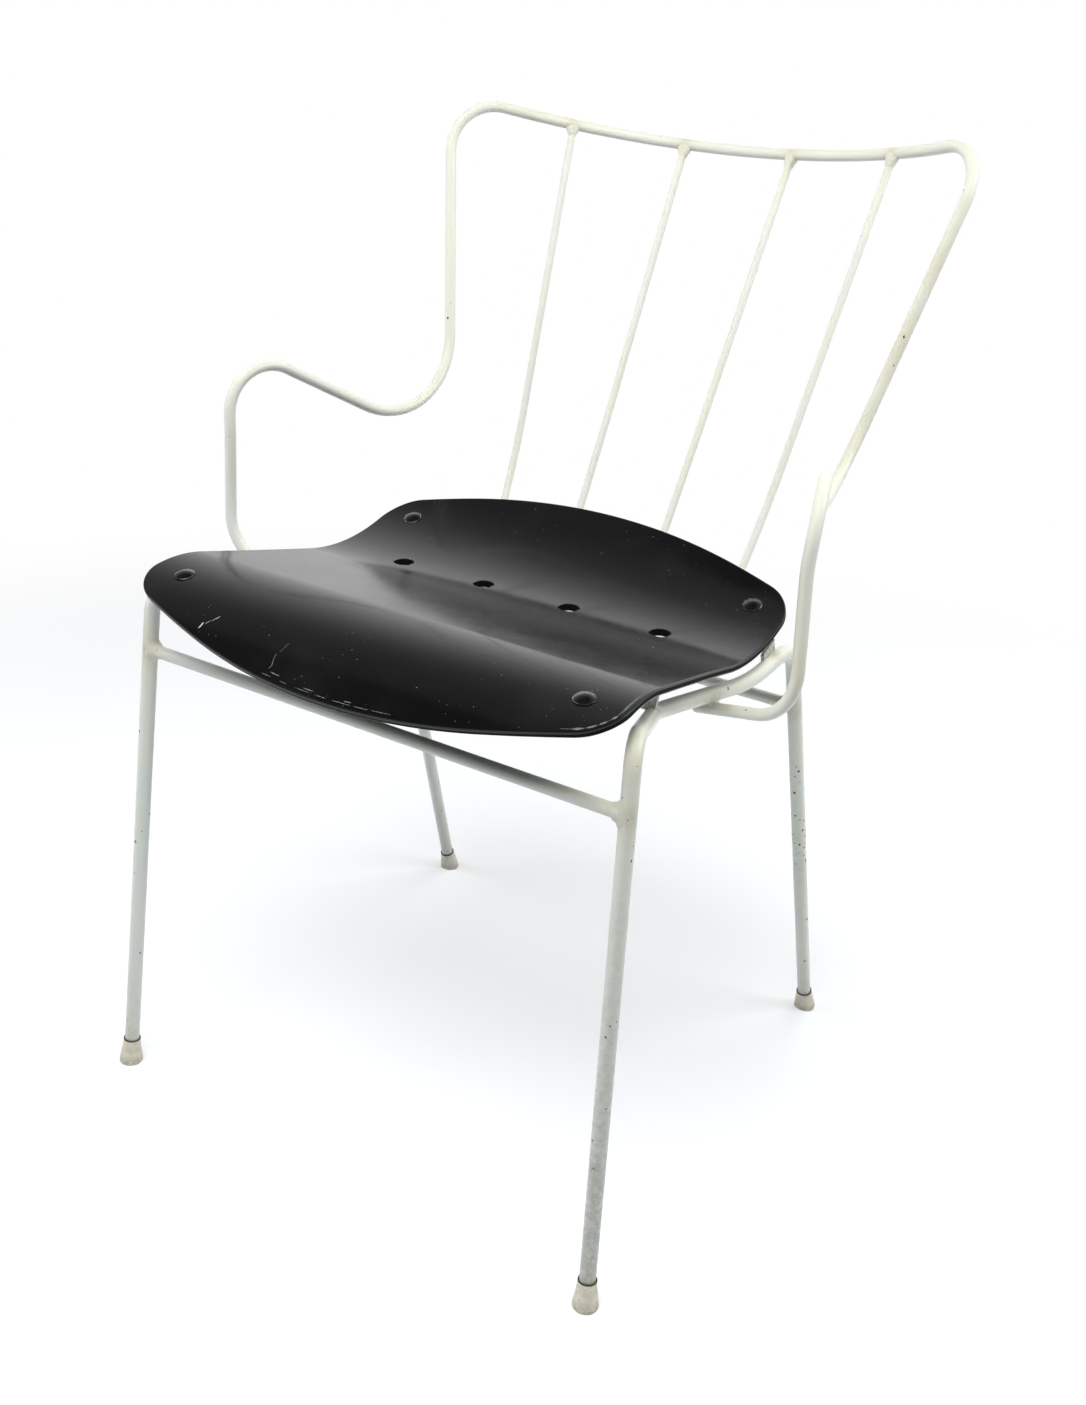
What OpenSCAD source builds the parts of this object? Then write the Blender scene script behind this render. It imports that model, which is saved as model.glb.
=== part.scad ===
// Metal rod armchair with a pressed plywood seat, built in millimetres.
// X is the width, the chair looks along -Y, Z is up and the floor is z = 0.
// Left is the sitter's left, +X. Left pieces are drawn and the right ones mirrored.

/* [Leg frames] */
// Diameter of the leg and side rail rod
leg_rod_d = 12.2; // [10:0.1:13]
// Half the distance between the front feet
front_foot_x = 230; // [215:1:245]
// Front feet, ahead of the middle of the seat frame
front_foot_y = 243.4; // [225:0.1:260]
// Half the distance between the front knees
front_knee_x = 210; // [205:1:218]
// Front knees, ahead of the middle
front_knee_y = 220; // [214:1:226]
// Height of the front knees
front_knee_z = 435; // [430:1:440]
// Bend radius of the front knees
front_knee_r = 18; // [15:1:22]
// Half the width of the side rails at the waist
waist_x = 170; // [166:1:175]
// The waist, ahead of the middle
waist_y = 112; // [106:1:118]
// Height of the side rails at the waist
waist_z = 405.6; // [402:0.2:410]
// Bend radius at the waist
waist_r = 39; // [30:1:48]
// Half the width of the side rails behind the waist
swell_x = 196; // [192:1:199]
// The swell of the rails, ahead of the middle
swell_y = 11; // [6:1:16]
// Height of the rails at the swell
swell_z = 403.4; // [400:0.2:407]
// Bend radius at the swell
swell_r = 170; // [140:5:190]
// Half the distance between the rear knees
rear_knee_x = 200; // [197:1:204]
// Rear knees, behind the middle
rear_knee_y = 59; // [54:1:64]
// Height of the rear knees
rear_knee_z = 415; // [411:1:419]
// Bend radius of the rear knees
rear_knee_r = 28; // [20:1:30]
// Half the distance between the rear feet
rear_foot_x = 211; // [200:1:225]
// Rear feet, behind the middle
rear_foot_y = 207.3; // [190:0.1:225]

/* [Crossbars] */
// Diameter of the two crossbars
bar_d = 10; // [8:0.1:11]
// Height of the front crossbar
front_bar_z = 382.5; // [363:0.5:390]
// Height of the rear crossbar
rear_bar_z = 356.4; // [343:0.2:366]

/* [Arm and back rod] */
// Diameter of the arm and back rod
arm_rod_d = 9.5; // [8:0.1:11]
// Corner of the top rail, half the width
horn_x = 247.8; // [244:0.2:251]
// Corner of the top rail, behind the middle
horn_y = 194.8; // [189:0.2:200]
// Corner of the top rail, height
horn_z = 792.4; // [784:0.2:801]
// Bend radius of the top corners
horn_r = 40.5; // [32:0.5:44]
// Where the two halves of the top rail aim, behind the middle
crest_y = 362.6; // [357:0.2:368]
// Where the two halves of the top rail aim, height
crest_z = 741.2; // [736:0.2:748]
// Radius of the long curve of the top rail
crest_r = 345; // [320:1:350]
// Bend from the back into the arm, half the width
elbow_x = 182; // [178:0.5:186]
// Bend from the back into the arm, behind the middle
elbow_y = 124.8; // [120:0.2:130]
// Bend from the back into the arm, height
elbow_z = 492.4; // [486:0.2:500]
// Radius of the bend from the back into the arm
elbow_r = 76.5; // [65:0.5:82]
// Front of the arm, half the width
hand_x = 259.6; // [256:0.2:263]
// Front of the arm, ahead of the middle
hand_y = 85.6; // [81:0.2:90]
// Front of the arm, height
hand_z = 598.6; // [593:0.2:610]
// Bend radius at the front of the arm
hand_r = 38; // [30:0.5:39]
// Gentle bend in the arm's front post, half the width
post_x = 256.1; // [253:0.1:259]
// Gentle bend in the arm's front post, ahead of the middle
post_y = 86; // [83:0.5:89]
// Gentle bend in the arm's front post, height
post_z = 525; // [522:1:530]
// Radius of the gentle bend in the arm's front post
post_r = 180; // [120:5:190]
// How far along the rail from the waist the arm passes under it
arm_seat_run = 61.8; // [54:0.2:68]
// Length from the arm's lower bend to where it passes under the rail
tail_run = 80.8; // [76:0.2:88]
// Angle of the tail toward the back, seen from above
tail_yaw = 21; // [18:0.5:25]
// Fall of the tail toward the rail in degrees
tail_slope = 16; // [12:0.5:20]
// Radius of the lower bend of the arm
tail_r = 47; // [38:0.5:54]
// Length of the tail past the rail
tail_end = 18; // [12:1:24]

/* [Back spindles] */
// Diameter of the four spindles
spindle_d = 6.4; // [5:0.1:8]
// Top of the outer spindles, half the distance
outer_top_x = 152.2; // [148:0.2:156]
// Bend of the outer spindles, half the distance
outer_mid_x = 126; // [123:0.5:129]
// Bend of the outer spindles, behind the middle
outer_mid_y = 152.8; // [149:0.2:157]
// Bend of the outer spindles, height
outer_mid_z = 493.2; // [486:0.2:500]
// Radius of the bend in the outer spindles
outer_r = 560; // [400:10:600]
// Foot of the outer spindles, half the distance
outer_foot_x = 113; // [110:0.5:116]
// Top of the inner spindles, half the distance
inner_top_x = 51.7; // [48.5:0.1:55]
// Bend of the inner spindles, half the distance
inner_mid_x = 45.1; // [43:0.1:48]
// Bend of the inner spindles, behind the middle
inner_mid_y = 174.6; // [171:0.2:178]
// Bend of the inner spindles, height
inner_mid_z = 540; // [534:0.5:546]
// Radius of the bend in the inner spindles
inner_r = 400; // [300:10:500]
// Foot of the inner spindles, half the distance
inner_foot_x = 40.3; // [38:0.1:43]

/* [Seat] */
// Thickness of the pressed plywood
seat_t = 5.6; // [5:0.1:8]
// Height of the seat's top at the front bolts
seat_front_z = 452.4; // [451:0.1:455]
// Radius of the rolled front
roll_r = 114.5; // [105:0.5:122]
// Slope of the rolled front edge in degrees
roll_slope = 37.8; // [35:0.2:40]
// Slope of the seat down to the dip in degrees
fall_slope = 11; // [10:0.1:12]
// Length from the roll's corner to the dip's corner, front to back
dish_run = 248.4; // [245:0.2:252]
// Distance of the roll's corner ahead of the middle
roll_y = 226.4; // [224:0.2:229]
// Radius of the dip
dip_r = 172; // [160:1:178]
// Slope of the seat's rear in degrees
rear_slope = 37; // [34:0.5:39]
// Front edge of the seat ahead of the middle
seat_front_y = 282; // [279:0.2:285]
// Rear edge of the seat behind the middle
seat_rear_y = 97.6; // [96:0.2:103]
// Half the seat's width at the front corners
seat_front_x = 205.8; // [202:0.2:207]
// Half the seat's width at its waist
seat_waist_x = 198.8; // [196:0.2:201]
// Half the seat's width at the rear corners
seat_rear_x = 195.9; // [194:0.1:199]
// Bow of the front edge over the seat's full width
front_bow = 38.2; // [32:0.2:42]
// Bow of the rear edge over the seat's full width
rear_bow = 33.4; // [30:0.2:38]
// Radius of the front corners
front_corner_r = 34; // [28:0.5:38]
// Radius of the rear corners
rear_corner_r = 35.5; // [32:0.5:42]
// Diameter of the four holes in the dip
hole_d = 17; // [12:0.5:22]
// Distance between the holes
hole_pitch = 81.6; // [77:0.2:87]
// Row of holes, ahead of the middle
hole_row_y = 19.3; // [12:0.2:22]

/* [Seat fixings] */
// Front bolts, half the distance
front_bolt_x = 173.4; // [171:0.2:178]
// Front bolts, ahead of the middle
front_bolt_y = 223.3; // [220:0.1:226]
// Rear bolts, half the distance
rear_bolt_x = 166; // [163:0.2:169]
// Rear bolts, behind the middle
rear_bolt_y = 50.2; // [48:0.2:56]
// Diameter of the bolt shanks
bolt_d = 6; // [5:0.1:7]
// Diameter of the domed bolt heads
bolt_head_d = 14.5; // [12:0.1:17]
// Height of the domed bolt heads
bolt_head_h = 3; // [2:0.1:4]
// Clearance of the bolts in their holes
bolt_clear = 0.3; // [0.2:0.05:0.5]
// Thickness of the seat lugs
lug_t = 3; // [2.5:0.1:4]
// Width of the seat lugs
lug_w = 19; // [15:0.5:20]
// How far the front lugs sit inside their bolts
front_lug_shift = 4; // [0:0.5:5]
// Distance of the front lugs on the rails past the corner of the front knees
front_lug_run = 100; // [94:1:103]
// Distance of the rear lugs on the rails past the corner of the rear knees
rear_lug_run = 32; // [30:0.5:38]
// How far inside the rail's axis the rear lugs' feet stand
lug_inset = 2.5; // [1:0.1:4]
// Thickness of the washers
washer_t = 1.6; // [1:0.1:2]
// Height of the nuts
nut_h = 5; // [4:0.1:6]
// Width of the nuts across their flats
nut_flats = 10; // [9:0.1:11]

/* [Foot caps] */
// Widest diameter of the caps
cap_d = 19.6; // [18:0.1:23]
// Diameter of the caps at the rim
cap_rim_d = 14.2; // [13.9:0.1:16]
// Height of the caps along the leg
cap_h = 23.5; // [20:0.5:30]
// Rubber under the end of the rod, along the leg
cap_sole = 6; // [5.5:0.1:8]
// Rounding of the sole's edge
cap_round = 2.6; // [2:0.1:4]
// Clearance round the rod inside a cap
cap_clear = 0.1; // [0.05:0.05:0.2]

/* [Welds] */
// Swell of the weld beads past the rod they hold
weld_swell = 3.2; // [2:0.1:4]
// Length of the weld beads along the rod
weld_run = 11; // [8:0.5:14]
// Diameter of the weld where an arm passes under a rail
arm_weld_d = 15; // [13:0.5:17]
// Length of that weld along the arm
arm_weld_run = 6; // [3:0.5:9]
// Gap left between the pieces that a weld joins
weld_gap = 0.05; // [0.03:0.01:0.1]

/* [Hidden] */

// Bends stand a hair proud and each straight laps into them, so they join cleanly
bend_proud = 0.06;
bend_lap = 0.6;

// Directions and points
function unit(v) = v / norm(v);
function flip(v) = [-v.x, v.y, v.z];
function between(a, b, run) = a + unit(b - a) * run;
function at_height(a, b, z) = a + (b - a) * (z - a.z) / (b.z - a.z);

// Bent rods: a route of corners, each with its bend radius
function turn(p, i) = acos(max(-1, min(1, unit(p[i] - p[i - 1]) * unit(p[i + 1] - p[i]))));
function setback(p, r, i) = (i == 0 || i == len(p) - 1) ? 0 : r[i] * tan(turn(p, i) / 2);

// Half of a leg frame, from the front foot over the rail to the rear foot
front_foot = [front_foot_x, -front_foot_y, 0];
front_knee = [front_knee_x, -front_knee_y, front_knee_z];
waist = [waist_x, -waist_y, waist_z];
swell = [swell_x, -swell_y, swell_z];
rear_knee = [rear_knee_x, rear_knee_y, rear_knee_z];
rear_foot = [rear_foot_x, rear_foot_y, 0];
frame_route = [
  between(front_foot, front_knee, cap_sole),
  front_knee, waist, swell, rear_knee,
  between(rear_foot, rear_knee, cap_sole)
];
frame_radii = [0, front_knee_r, waist_r, swell_r, rear_knee_r, 0];

// Crossbars run between the leg axes
front_bar_end = at_height(front_foot, front_knee, front_bar_z);
rear_bar_end = at_height(rear_foot, rear_knee, rear_bar_z);

// The arm passes under the rail, rod against rod
tail_dir = [-cos(tail_yaw) * cos(tail_slope), sin(tail_yaw) * cos(tail_slope), -sin(tail_slope)];
rail_dir = unit(swell - waist);
arm_rail_point = between(waist, swell, arm_seat_run);
arm_drop = (leg_rod_d + arm_rod_d) / 2 + weld_gap + bend_proud;
rail_up = unit(cross(rail_dir, tail_dir));
arm_cross = arm_rail_point - rail_up * arm_drop;
crest = [0, crest_y, crest_z];
horn = [horn_x, horn_y, horn_z];
elbow = [elbow_x, elbow_y, elbow_z];
hand = [hand_x, -hand_y, hand_z];
post = [post_x, -post_y, post_z];
tail_bend = arm_cross - tail_dir * tail_run;
tail_tip = arm_cross + tail_dir * tail_end;
half_arm = [horn, elbow, hand, post, tail_bend, tail_tip];
half_arm_radii = [horn_r, elbow_r, hand_r, post_r, tail_r, 0];
arm_route = concat(
  [for (i = [5 : -1 : 0]) flip(half_arm[i])],
  [crest],
  half_arm
);
arm_radii = concat(
  [for (i = [5 : -1 : 0]) half_arm_radii[i]],
  [crest_r],
  half_arm_radii
);

// Centre of the top rail's long curve, and the rail's axis at a distance x
crest_aim = unit(horn - crest);
crest_in = unit([0, crest_aim.y, crest_aim.z]);
crest_hub = crest + crest_in * crest_r / crest_aim.x;
function rail_at(x) = crest_hub - crest_in * sqrt(crest_r * crest_r - x * x) + [x, 0, 0];

// Spindles run from the rear crossbar to the top rail
outer_foot = [outer_foot_x, rear_bar_end.y, rear_bar_z];
inner_foot = [inner_foot_x, rear_bar_end.y, rear_bar_z];
outer_mid = [outer_mid_x, outer_mid_y, outer_mid_z];
inner_mid = [inner_mid_x, inner_mid_y, inner_mid_z];
outer_top = rail_at(outer_top_x);
inner_top = rail_at(inner_top_x);

// Seat section: a rolled front, a fall to the dip and a rising rear
roll_turn = roll_slope + fall_slope;
dip_turn = fall_slope + rear_slope;
roll_set = roll_r * tan(roll_turn / 2);
dip_set = dip_r * tan(dip_turn / 2);
// height of the roll's corner, found from the height at the front bolts
roll_hub_y = -roll_y + roll_set * cos(fall_slope) - roll_r * sin(fall_slope);
roll_hub_z = seat_front_z - sqrt(pow(roll_r, 2) - pow(-front_bolt_y - roll_hub_y, 2));
roll_z = roll_hub_z + roll_r * cos(fall_slope) + roll_set * sin(fall_slope);
roll_corner = [-roll_y, roll_z];
dip_corner = roll_corner + [dish_run, -dish_run * tan(fall_slope)];
dip_start = dip_corner - [cos(fall_slope), -sin(fall_slope)] * dip_set;
dip_hub = dip_start + [sin(fall_slope), cos(fall_slope)] * dip_r;
function roll_top(y) = roll_hub_z + sqrt(pow(roll_r, 2) - pow(y - roll_hub_y, 2));
function roll_tilt(y) = -asin((y - roll_hub_y) / roll_r);
function dip_top(y) = dip_hub.y - sqrt(pow(dip_r, 2) - pow(y - dip_hub.x, 2));
function dip_tilt(y) = asin((y - dip_hub.x) / dip_r);

// Top of the seat at the bolts and how far it leans there
front_bolt = [front_bolt_x, -front_bolt_y, roll_top(-front_bolt_y)];
front_lean = roll_tilt(-front_bolt_y);
rear_bolt = [rear_bolt_x, rear_bolt_y, dip_top(rear_bolt_y)];
rear_lean = dip_tilt(rear_bolt_y);

// Where the lugs stand on the rails
front_lug_foot = between(front_knee, waist, front_lug_run);
rear_lug_foot = between(rear_knee, swell, rear_lug_run);

// The model stands with its length centred, from the seat's front to the rail's back
mid_y = (rail_at(0).y + arm_rod_d / 2 - seat_front_y) / 2;

// Turn the Z axis onto a direction
module along(p, u) {
  translate(p)
    rotate([0, acos(u.z), atan2(u.y, u.x)])
      children();
}

module span(a, b, d) {
  along(a, unit(b - a))
    cylinder(h = norm(b - a), d = d, $fn = 32);
}

module bend(a, c, b, r, d) {
  u = unit(c - a);
  w = unit(b - c);
  t = acos(u * w);
  n = unit(cross(u, w));
  x = cross(u, n);
  o = c - u * r * tan(t / 2) - x * r;
  multmatrix([[x.x, u.x, n.x, o.x], [x.y, u.y, n.y, o.y], [x.z, u.z, n.z, o.z], [0, 0, 0, 1]])
    rotate_extrude(angle = t, $fn = 96)
      translate([r, 0])
        circle(d = d, $fn = 32);
}

module bent_rod(p, r, d) {
  last = len(p) - 1;
  for (i = [0 : last - 1]) {
    u = unit(p[i + 1] - p[i]);
    start = setback(p, r, i) - (i == 0 ? 0 : bend_lap);
    stop = setback(p, r, i + 1) - (i == last - 1 ? 0 : bend_lap);
    span(p[i] + u * start, p[i + 1] - u * stop, d);
  }
  for (i = [1 : last - 1])
    bend(p[i - 1], p[i], p[i + 1], r[i], d + bend_proud);
}

// The long curve of the top rail by itself, grown by a gap all round
module crest_curve(gap) {
  bend(flip(horn), crest, horn, crest_r, arm_rod_d + bend_proud + 2 * gap);
}

module rail_straight(gap) {
  span(waist, swell, leg_rod_d + 2 * gap);
}

module side_frame() {
  color("ivory")
    bent_rod(frame_route, frame_radii, leg_rod_d);
}

// A stretch of a leg above and below a crossbar's end, grown by a gap all round
module leg_core(end, foot, knee, gap) {
  reach = 3 * leg_rod_d;
  span(between(end, foot, reach), between(end, knee, reach), leg_rod_d + 2 * gap);
}

module crossbar(end, foot, knee) {
  color("ivory")
    difference() {
      span(flip(end), end, bar_d);
      leg_core(end, foot, knee, weld_gap);
      mirror([1, 0, 0])
        leg_core(end, foot, knee, weld_gap);
    }
}

module arm_back_rod() {
  color("ivory")
    bent_rod(arm_route, arm_radii, arm_rod_d);
}

module rear_bar_core(gap) {
  span(flip(rear_bar_end), rear_bar_end, bar_d + 2 * gap);
}

module spindle(foot, mid, top, r) {
  color("ivory")
    difference() {
      bent_rod([foot, mid, top], [0, r, 0], spindle_d);
      crest_curve(weld_gap);
      rear_bar_core(weld_gap);
    }
}

module outer_spindle() {
  spindle(outer_foot, outer_mid, outer_top, outer_r);
}

module inner_spindle() {
  spindle(inner_foot, inner_mid, inner_top, inner_r);
}

// The seat's outline: its front and rear edges are arcs of two wide discs
front_disc_r = (pow(seat_front_x, 2) + pow(front_bow, 2)) / (2 * front_bow);
rear_disc_r = (pow(seat_rear_x, 2) + pow(rear_bow, 2)) / (2 * rear_bow);
// Each corner's hub lies one corner radius inside its disc and the side
front_hub_x = seat_front_x - front_corner_r;
front_hub_y = -seat_front_y + front_disc_r
  - sqrt(pow(front_disc_r - front_corner_r, 2) - pow(front_hub_x, 2));
rear_hub_x = seat_rear_x - rear_corner_r;
rear_hub_y = seat_rear_y - rear_disc_r
  + sqrt(pow(rear_disc_r - rear_corner_r, 2) - pow(rear_hub_x, 2));
front_start = asin(front_hub_x / (front_disc_r - front_corner_r));
rear_stop = asin(rear_hub_x / (rear_disc_r - rear_corner_r));
// the waist is a sine between the two corners
waist_steps = 12;
waist_in = (seat_front_x + seat_rear_x) / 2 - seat_waist_x;
function side_x(s) = seat_front_x + (seat_rear_x - seat_front_x) * s - waist_in * pow(sin(180 * s), 2);
function side_y(s) = front_hub_y + (rear_hub_y - front_hub_y) * s;
function arc_point(hub, r, t) = hub + r * [cos(t), sin(t)];
front_disc_hub = [0, front_disc_r - seat_front_y];
rear_disc_hub = [0, seat_rear_y - rear_disc_r];
half_outline = concat(
  [for (a = [0 : 1 / 7 : 1]) arc_point(front_disc_hub, front_disc_r, -90 + front_start * a)],
  [for (a = [1 / 7 : 1 / 7 : 1])
    arc_point([front_hub_x, front_hub_y], front_corner_r, -90 + front_start + (90 - front_start) * a)],
  [for (i = [1 : waist_steps - 1]) [side_x(i / waist_steps), side_y(i / waist_steps)]],
  [for (a = [0 : 1 / 9 : 1]) arc_point([rear_hub_x, rear_hub_y], rear_corner_r, (90 - rear_stop) * a)],
  [for (a = [1 - 1 / 7 : -1 / 7 : 0]) arc_point(rear_disc_hub, rear_disc_r, 90 - rear_stop * a)]
);
last_point = len(half_outline) - 1;
seat_outline = concat(
  half_outline,
  [for (i = [last_point : -1 : 0]) if (half_outline[i].x > 0.01) [-half_outline[i].x, half_outline[i].y]]
);

// From under the dip up to the dip's hub
module seat_outline_prism() {
  translate([0, 0, dip_hub.y - dip_r - 3 * seat_t])
    linear_extrude(height = dip_r + 3 * seat_t)
      polygon(seat_outline);
}

// A curved stretch of the board, turned about an axis along X
module board_arc(hub_y, hub_z, r_in, r_out, from, turn) {
  translate([-seat_front_x - 5, hub_y, hub_z])
    rotate([90, 0, 90])
      rotate([0, 0, from])
        rotate_extrude(angle = turn, $fn = 240)
          translate([r_in, 0])
            square([r_out - r_in, 2 * seat_front_x + 10]);
}

// A flat stretch of the board between two points of its top, (y, z)
module board_flat(a, b, inset) {
  run = norm(b - a);
  translate([-seat_front_x - 5, a.x, a.y])
    rotate([atan2(b.y - a.y, b.x - a.x), 0, 0])
      translate([0, 0, -seat_t + inset])
        cube([2 * seat_front_x + 10, run, seat_t - 2 * inset]);
}

roll_end = [roll_hub_y, roll_hub_z] + roll_r * [sin(fall_slope), cos(fall_slope)];
roll_start = [roll_hub_y, roll_hub_z] + roll_r * [-sin(roll_slope), cos(roll_slope)];
dip_end = dip_hub + dip_r * [sin(rear_slope), -cos(rear_slope)];
board_lap = 1;
// The front and rear flats run this far, past the outline
past_edge = 7 * seat_t;

module board() {
  board_arc(roll_hub_y, roll_hub_z, roll_r - seat_t, roll_r, 90 - fall_slope, roll_turn);
  board_arc(dip_hub.x, dip_hub.y, dip_r, dip_r + seat_t, 270 - fall_slope, dip_turn);
  board_flat(
    roll_end - [cos(fall_slope), -sin(fall_slope)] * board_lap,
    dip_start + [cos(fall_slope), -sin(fall_slope)] * board_lap,
    0.02
  );
  board_flat(
    dip_end - [cos(rear_slope), sin(rear_slope)] * board_lap,
    dip_end + [cos(rear_slope), sin(rear_slope)] * past_edge,
    0.02
  );
  board_flat(
    roll_start - [cos(roll_slope), sin(roll_slope)] * past_edge,
    roll_start + [cos(roll_slope), sin(roll_slope)] * board_lap,
    0.02
  );
}

// Work in the seat's plane at a bolt, z = 0 on the seat's top
module at_bolt(p, lean) {
  translate(p)
    rotate([lean, 0, 0])
      children();
}

module bolt_hole(p, lean) {
  at_bolt(p, lean)
    translate([0, 0, -3 * (seat_t + lug_t)])
      cylinder(h = 5 * (seat_t + lug_t), d = bolt_d + 2 * bolt_clear, $fn = 32);
}

module seat_shell() {
  color("black")
    difference() {
      intersection() {
        board();
        seat_outline_prism();
      }
      for (k = [-1.5 : 1 : 1.5])
        at_bolt([k * hole_pitch, -hole_row_y, dip_top(-hole_row_y)], dip_tilt(-hole_row_y))
          translate([0, 0, -3 * seat_t])
            cylinder(h = 6 * seat_t, d = hole_d, $fn = 48);
      for (s = [0, 1])
        mirror([s, 0, 0]) {
          bolt_hole(front_bolt, front_lean);
          bolt_hole(rear_bolt, rear_lean);
        }
    }
}

// Lengths in the seat's plane at a bolt: across, along the slope and down
function slope_run(v, lean) = v.y * cos(lean) + v.z * sin(lean);
function slope_drop(v, lean) = v.y * sin(lean) - v.z * cos(lean) - seat_t - lug_t;

// The front lug is a strap pressed to the seat's underside, turned down onto the rail
module front_lug() {
  foot = front_lug_foot - [front_bolt_x, roll_end.x, roll_end.y];
  run = slope_run(foot, -fall_slope);
  drop = slope_drop(foot, -fall_slope) - leg_rod_d / 4;
  lip = asin(lug_w / 2 / roll_r);
  side = front_bolt_x - front_lug_shift - lug_w / 2;
  color("ivory")
    difference() {
      union() {
        translate([side, roll_hub_y, roll_hub_z])
          rotate([90, 0, 90])
            rotate([0, 0, 90 - fall_slope])
              rotate_extrude(angle = fall_slope + front_lean + lip, $fn = 240)
                translate([roll_r - seat_t - lug_t, 0])
                  square([lug_t, lug_w]);
        translate([side, roll_end.x, roll_end.y])
          rotate([-fall_slope, 0, 0])
            translate([0, -board_lap, -seat_t - lug_t]) {
              cube([lug_w, run + board_lap, lug_t - 0.02]);
              translate([0, run + board_lap - lug_t, -drop])
                cube([lug_w, lug_t, drop + 0.5]);
            }
      }
      bolt_hole(front_bolt, front_lean);
      span(front_knee, waist, leg_rod_d + 2 * weld_gap);
    }
}

// The rear lug is a flat tab widening from its eye to a foot beside the rail
module rear_lug() {
  foot = rear_lug_foot - rear_bolt;
  end = [foot.x - lug_inset, slope_run(foot, rear_lean)];
  way = unit(end);
  half = lug_w / 2;
  neck = half * 0.92;
  drop = slope_drop(foot, rear_lean) - leg_rod_d / 4;
  color("ivory")
    difference() {
      at_bolt(rear_bolt, rear_lean)
        translate([0, 0, -seat_t - lug_t]) {
          cylinder(h = lug_t, d = lug_w, $fn = 48);
          linear_extrude(height = lug_t)
            polygon([[-way.y, way.x] * neck, [way.y, -way.x] * neck, end - [0, half], end + [0, half]]);
          translate([end.x - lug_t, end.y - half + 0.1, -drop])
            cube([lug_t - 0.05, lug_w - 0.2, drop + lug_t / 2]);
        }
      bolt_hole(rear_bolt, rear_lean);
      span(swell, rear_knee, leg_rod_d + 2 * weld_gap);
    }
}

// A flat face of width w touches a curve of radius r this far from its tangent
function sag(w, r) = r - sqrt(r * r - w * w / 4);
head_lift = sag(bolt_head_d, dip_r);
washer_d = 2 * bolt_d + 1;
washer_lower = sag(washer_d, roll_r - seat_t - lug_t);

module seat_bolt(p, lean) {
  dome_r = (pow(bolt_head_d / 2, 2) + pow(bolt_head_h, 2)) / (2 * bolt_head_h);
  color("dimgray")
    at_bolt(p, lean) translate([0, 0, head_lift]) {
      intersection() {
        translate([0, 0, bolt_head_h - dome_r])
          sphere(r = dome_r, $fn = 64);
        cylinder(h = bolt_head_h + 1, d = bolt_head_d + 1, $fn = 48);
      }
      translate([0, 0, -seat_t - lug_t - washer_t - nut_h - 3])
        cylinder(h = seat_t + lug_t + washer_t + nut_h + 3.5, d = bolt_d, $fn = 32);
    }
}

module washer(p, lean) {
  at_bolt(p, lean)
    translate([0, 0, -seat_t - lug_t - washer_t - washer_lower])
      difference() {
        cylinder(h = washer_t, d = washer_d, $fn = 32);
        translate([0, 0, -1])
          cylinder(h = washer_t + 2, d = bolt_d + 2 * bolt_clear, $fn = 32);
      }
}

module nut(p, lean) {
  at_bolt(p, lean)
    translate([0, 0, -seat_t - lug_t - washer_t - washer_lower - nut_h])
      difference() {
        cylinder(h = nut_h, d = nut_flats / cos(30), $fn = 6);
        translate([0, 0, -1])
          cylinder(h = nut_h + 2, d = bolt_d + 0.1, $fn = 32);
      }
}

module seat_washers() {
  color("silver")
    for (s = [0, 1])
      mirror([s, 0, 0]) {
        washer(front_bolt, front_lean);
        washer(rear_bolt, rear_lean);
      }
}

module seat_nuts() {
  color("silver")
    for (s = [0, 1])
      mirror([s, 0, 0]) {
        nut(front_bolt, front_lean);
        nut(rear_bolt, rear_lean);
      }
}

// A rubber cap pushed on the end of a leg and worn flat on the floor
module foot_cap(foot, knee) {
  rod_r = leg_rod_d / 2 + cap_clear;
  color("gainsboro")
    difference() {
      along(foot, unit(knee - foot))
        difference() {
          rotate_extrude($fn = 48)
            polygon([
              [0, -2.5],
              [cap_d / 2 - cap_round, -2.5],
              [cap_d / 2 - cap_round * 0.3, -2.5 + cap_round * 0.3],
              [cap_d / 2, -2.5 + cap_round],
              [cap_d / 2 - 0.1, cap_round],
              [cap_rim_d / 2, cap_h - 3.5],
              [cap_rim_d / 2, cap_h - 0.3],
              [cap_rim_d / 2 - 0.3, cap_h],
              [0, cap_h]
            ]);
          translate([0, 0, cap_sole])
            cylinder(h = cap_h, r = rod_r, $fn = 48);
        }
      translate(foot + [-30, -30, -60])
        cube([60, 60, 60]);
    }
}

// A bead round the end of a rod, wide against what the rod meets
module weld_bead(p, u, d) {
  r = d / 2 + weld_gap;
  along(p, u)
    rotate_extrude($fn = 32)
      polygon([
        [r, 0],
        [r + weld_swell, 0],
        [r + weld_swell * 0.9, weld_run * 0.4],
        [r + weld_swell * 0.45, weld_run * 0.65],
        [r + 0.4, weld_run],
        [r, weld_run]
      ]);
}

module spindle_top_welds() {
  color("ivory")
    for (s = [0, 1])
      mirror([s, 0, 0])
        difference() {
          union() {
            weld_bead(outer_top, unit(outer_mid - outer_top), spindle_d);
            weld_bead(inner_top, unit(inner_mid - inner_top), spindle_d);
          }
          crest_curve(weld_gap);
        }
}

module spindle_foot_welds() {
  color("ivory")
    for (s = [0, 1])
      mirror([s, 0, 0])
        difference() {
          union() {
            weld_bead(outer_foot, unit(outer_mid - outer_foot), spindle_d);
            weld_bead(inner_foot, unit(inner_mid - inner_foot), spindle_d);
          }
          rear_bar_core(weld_gap);
        }
}

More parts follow.
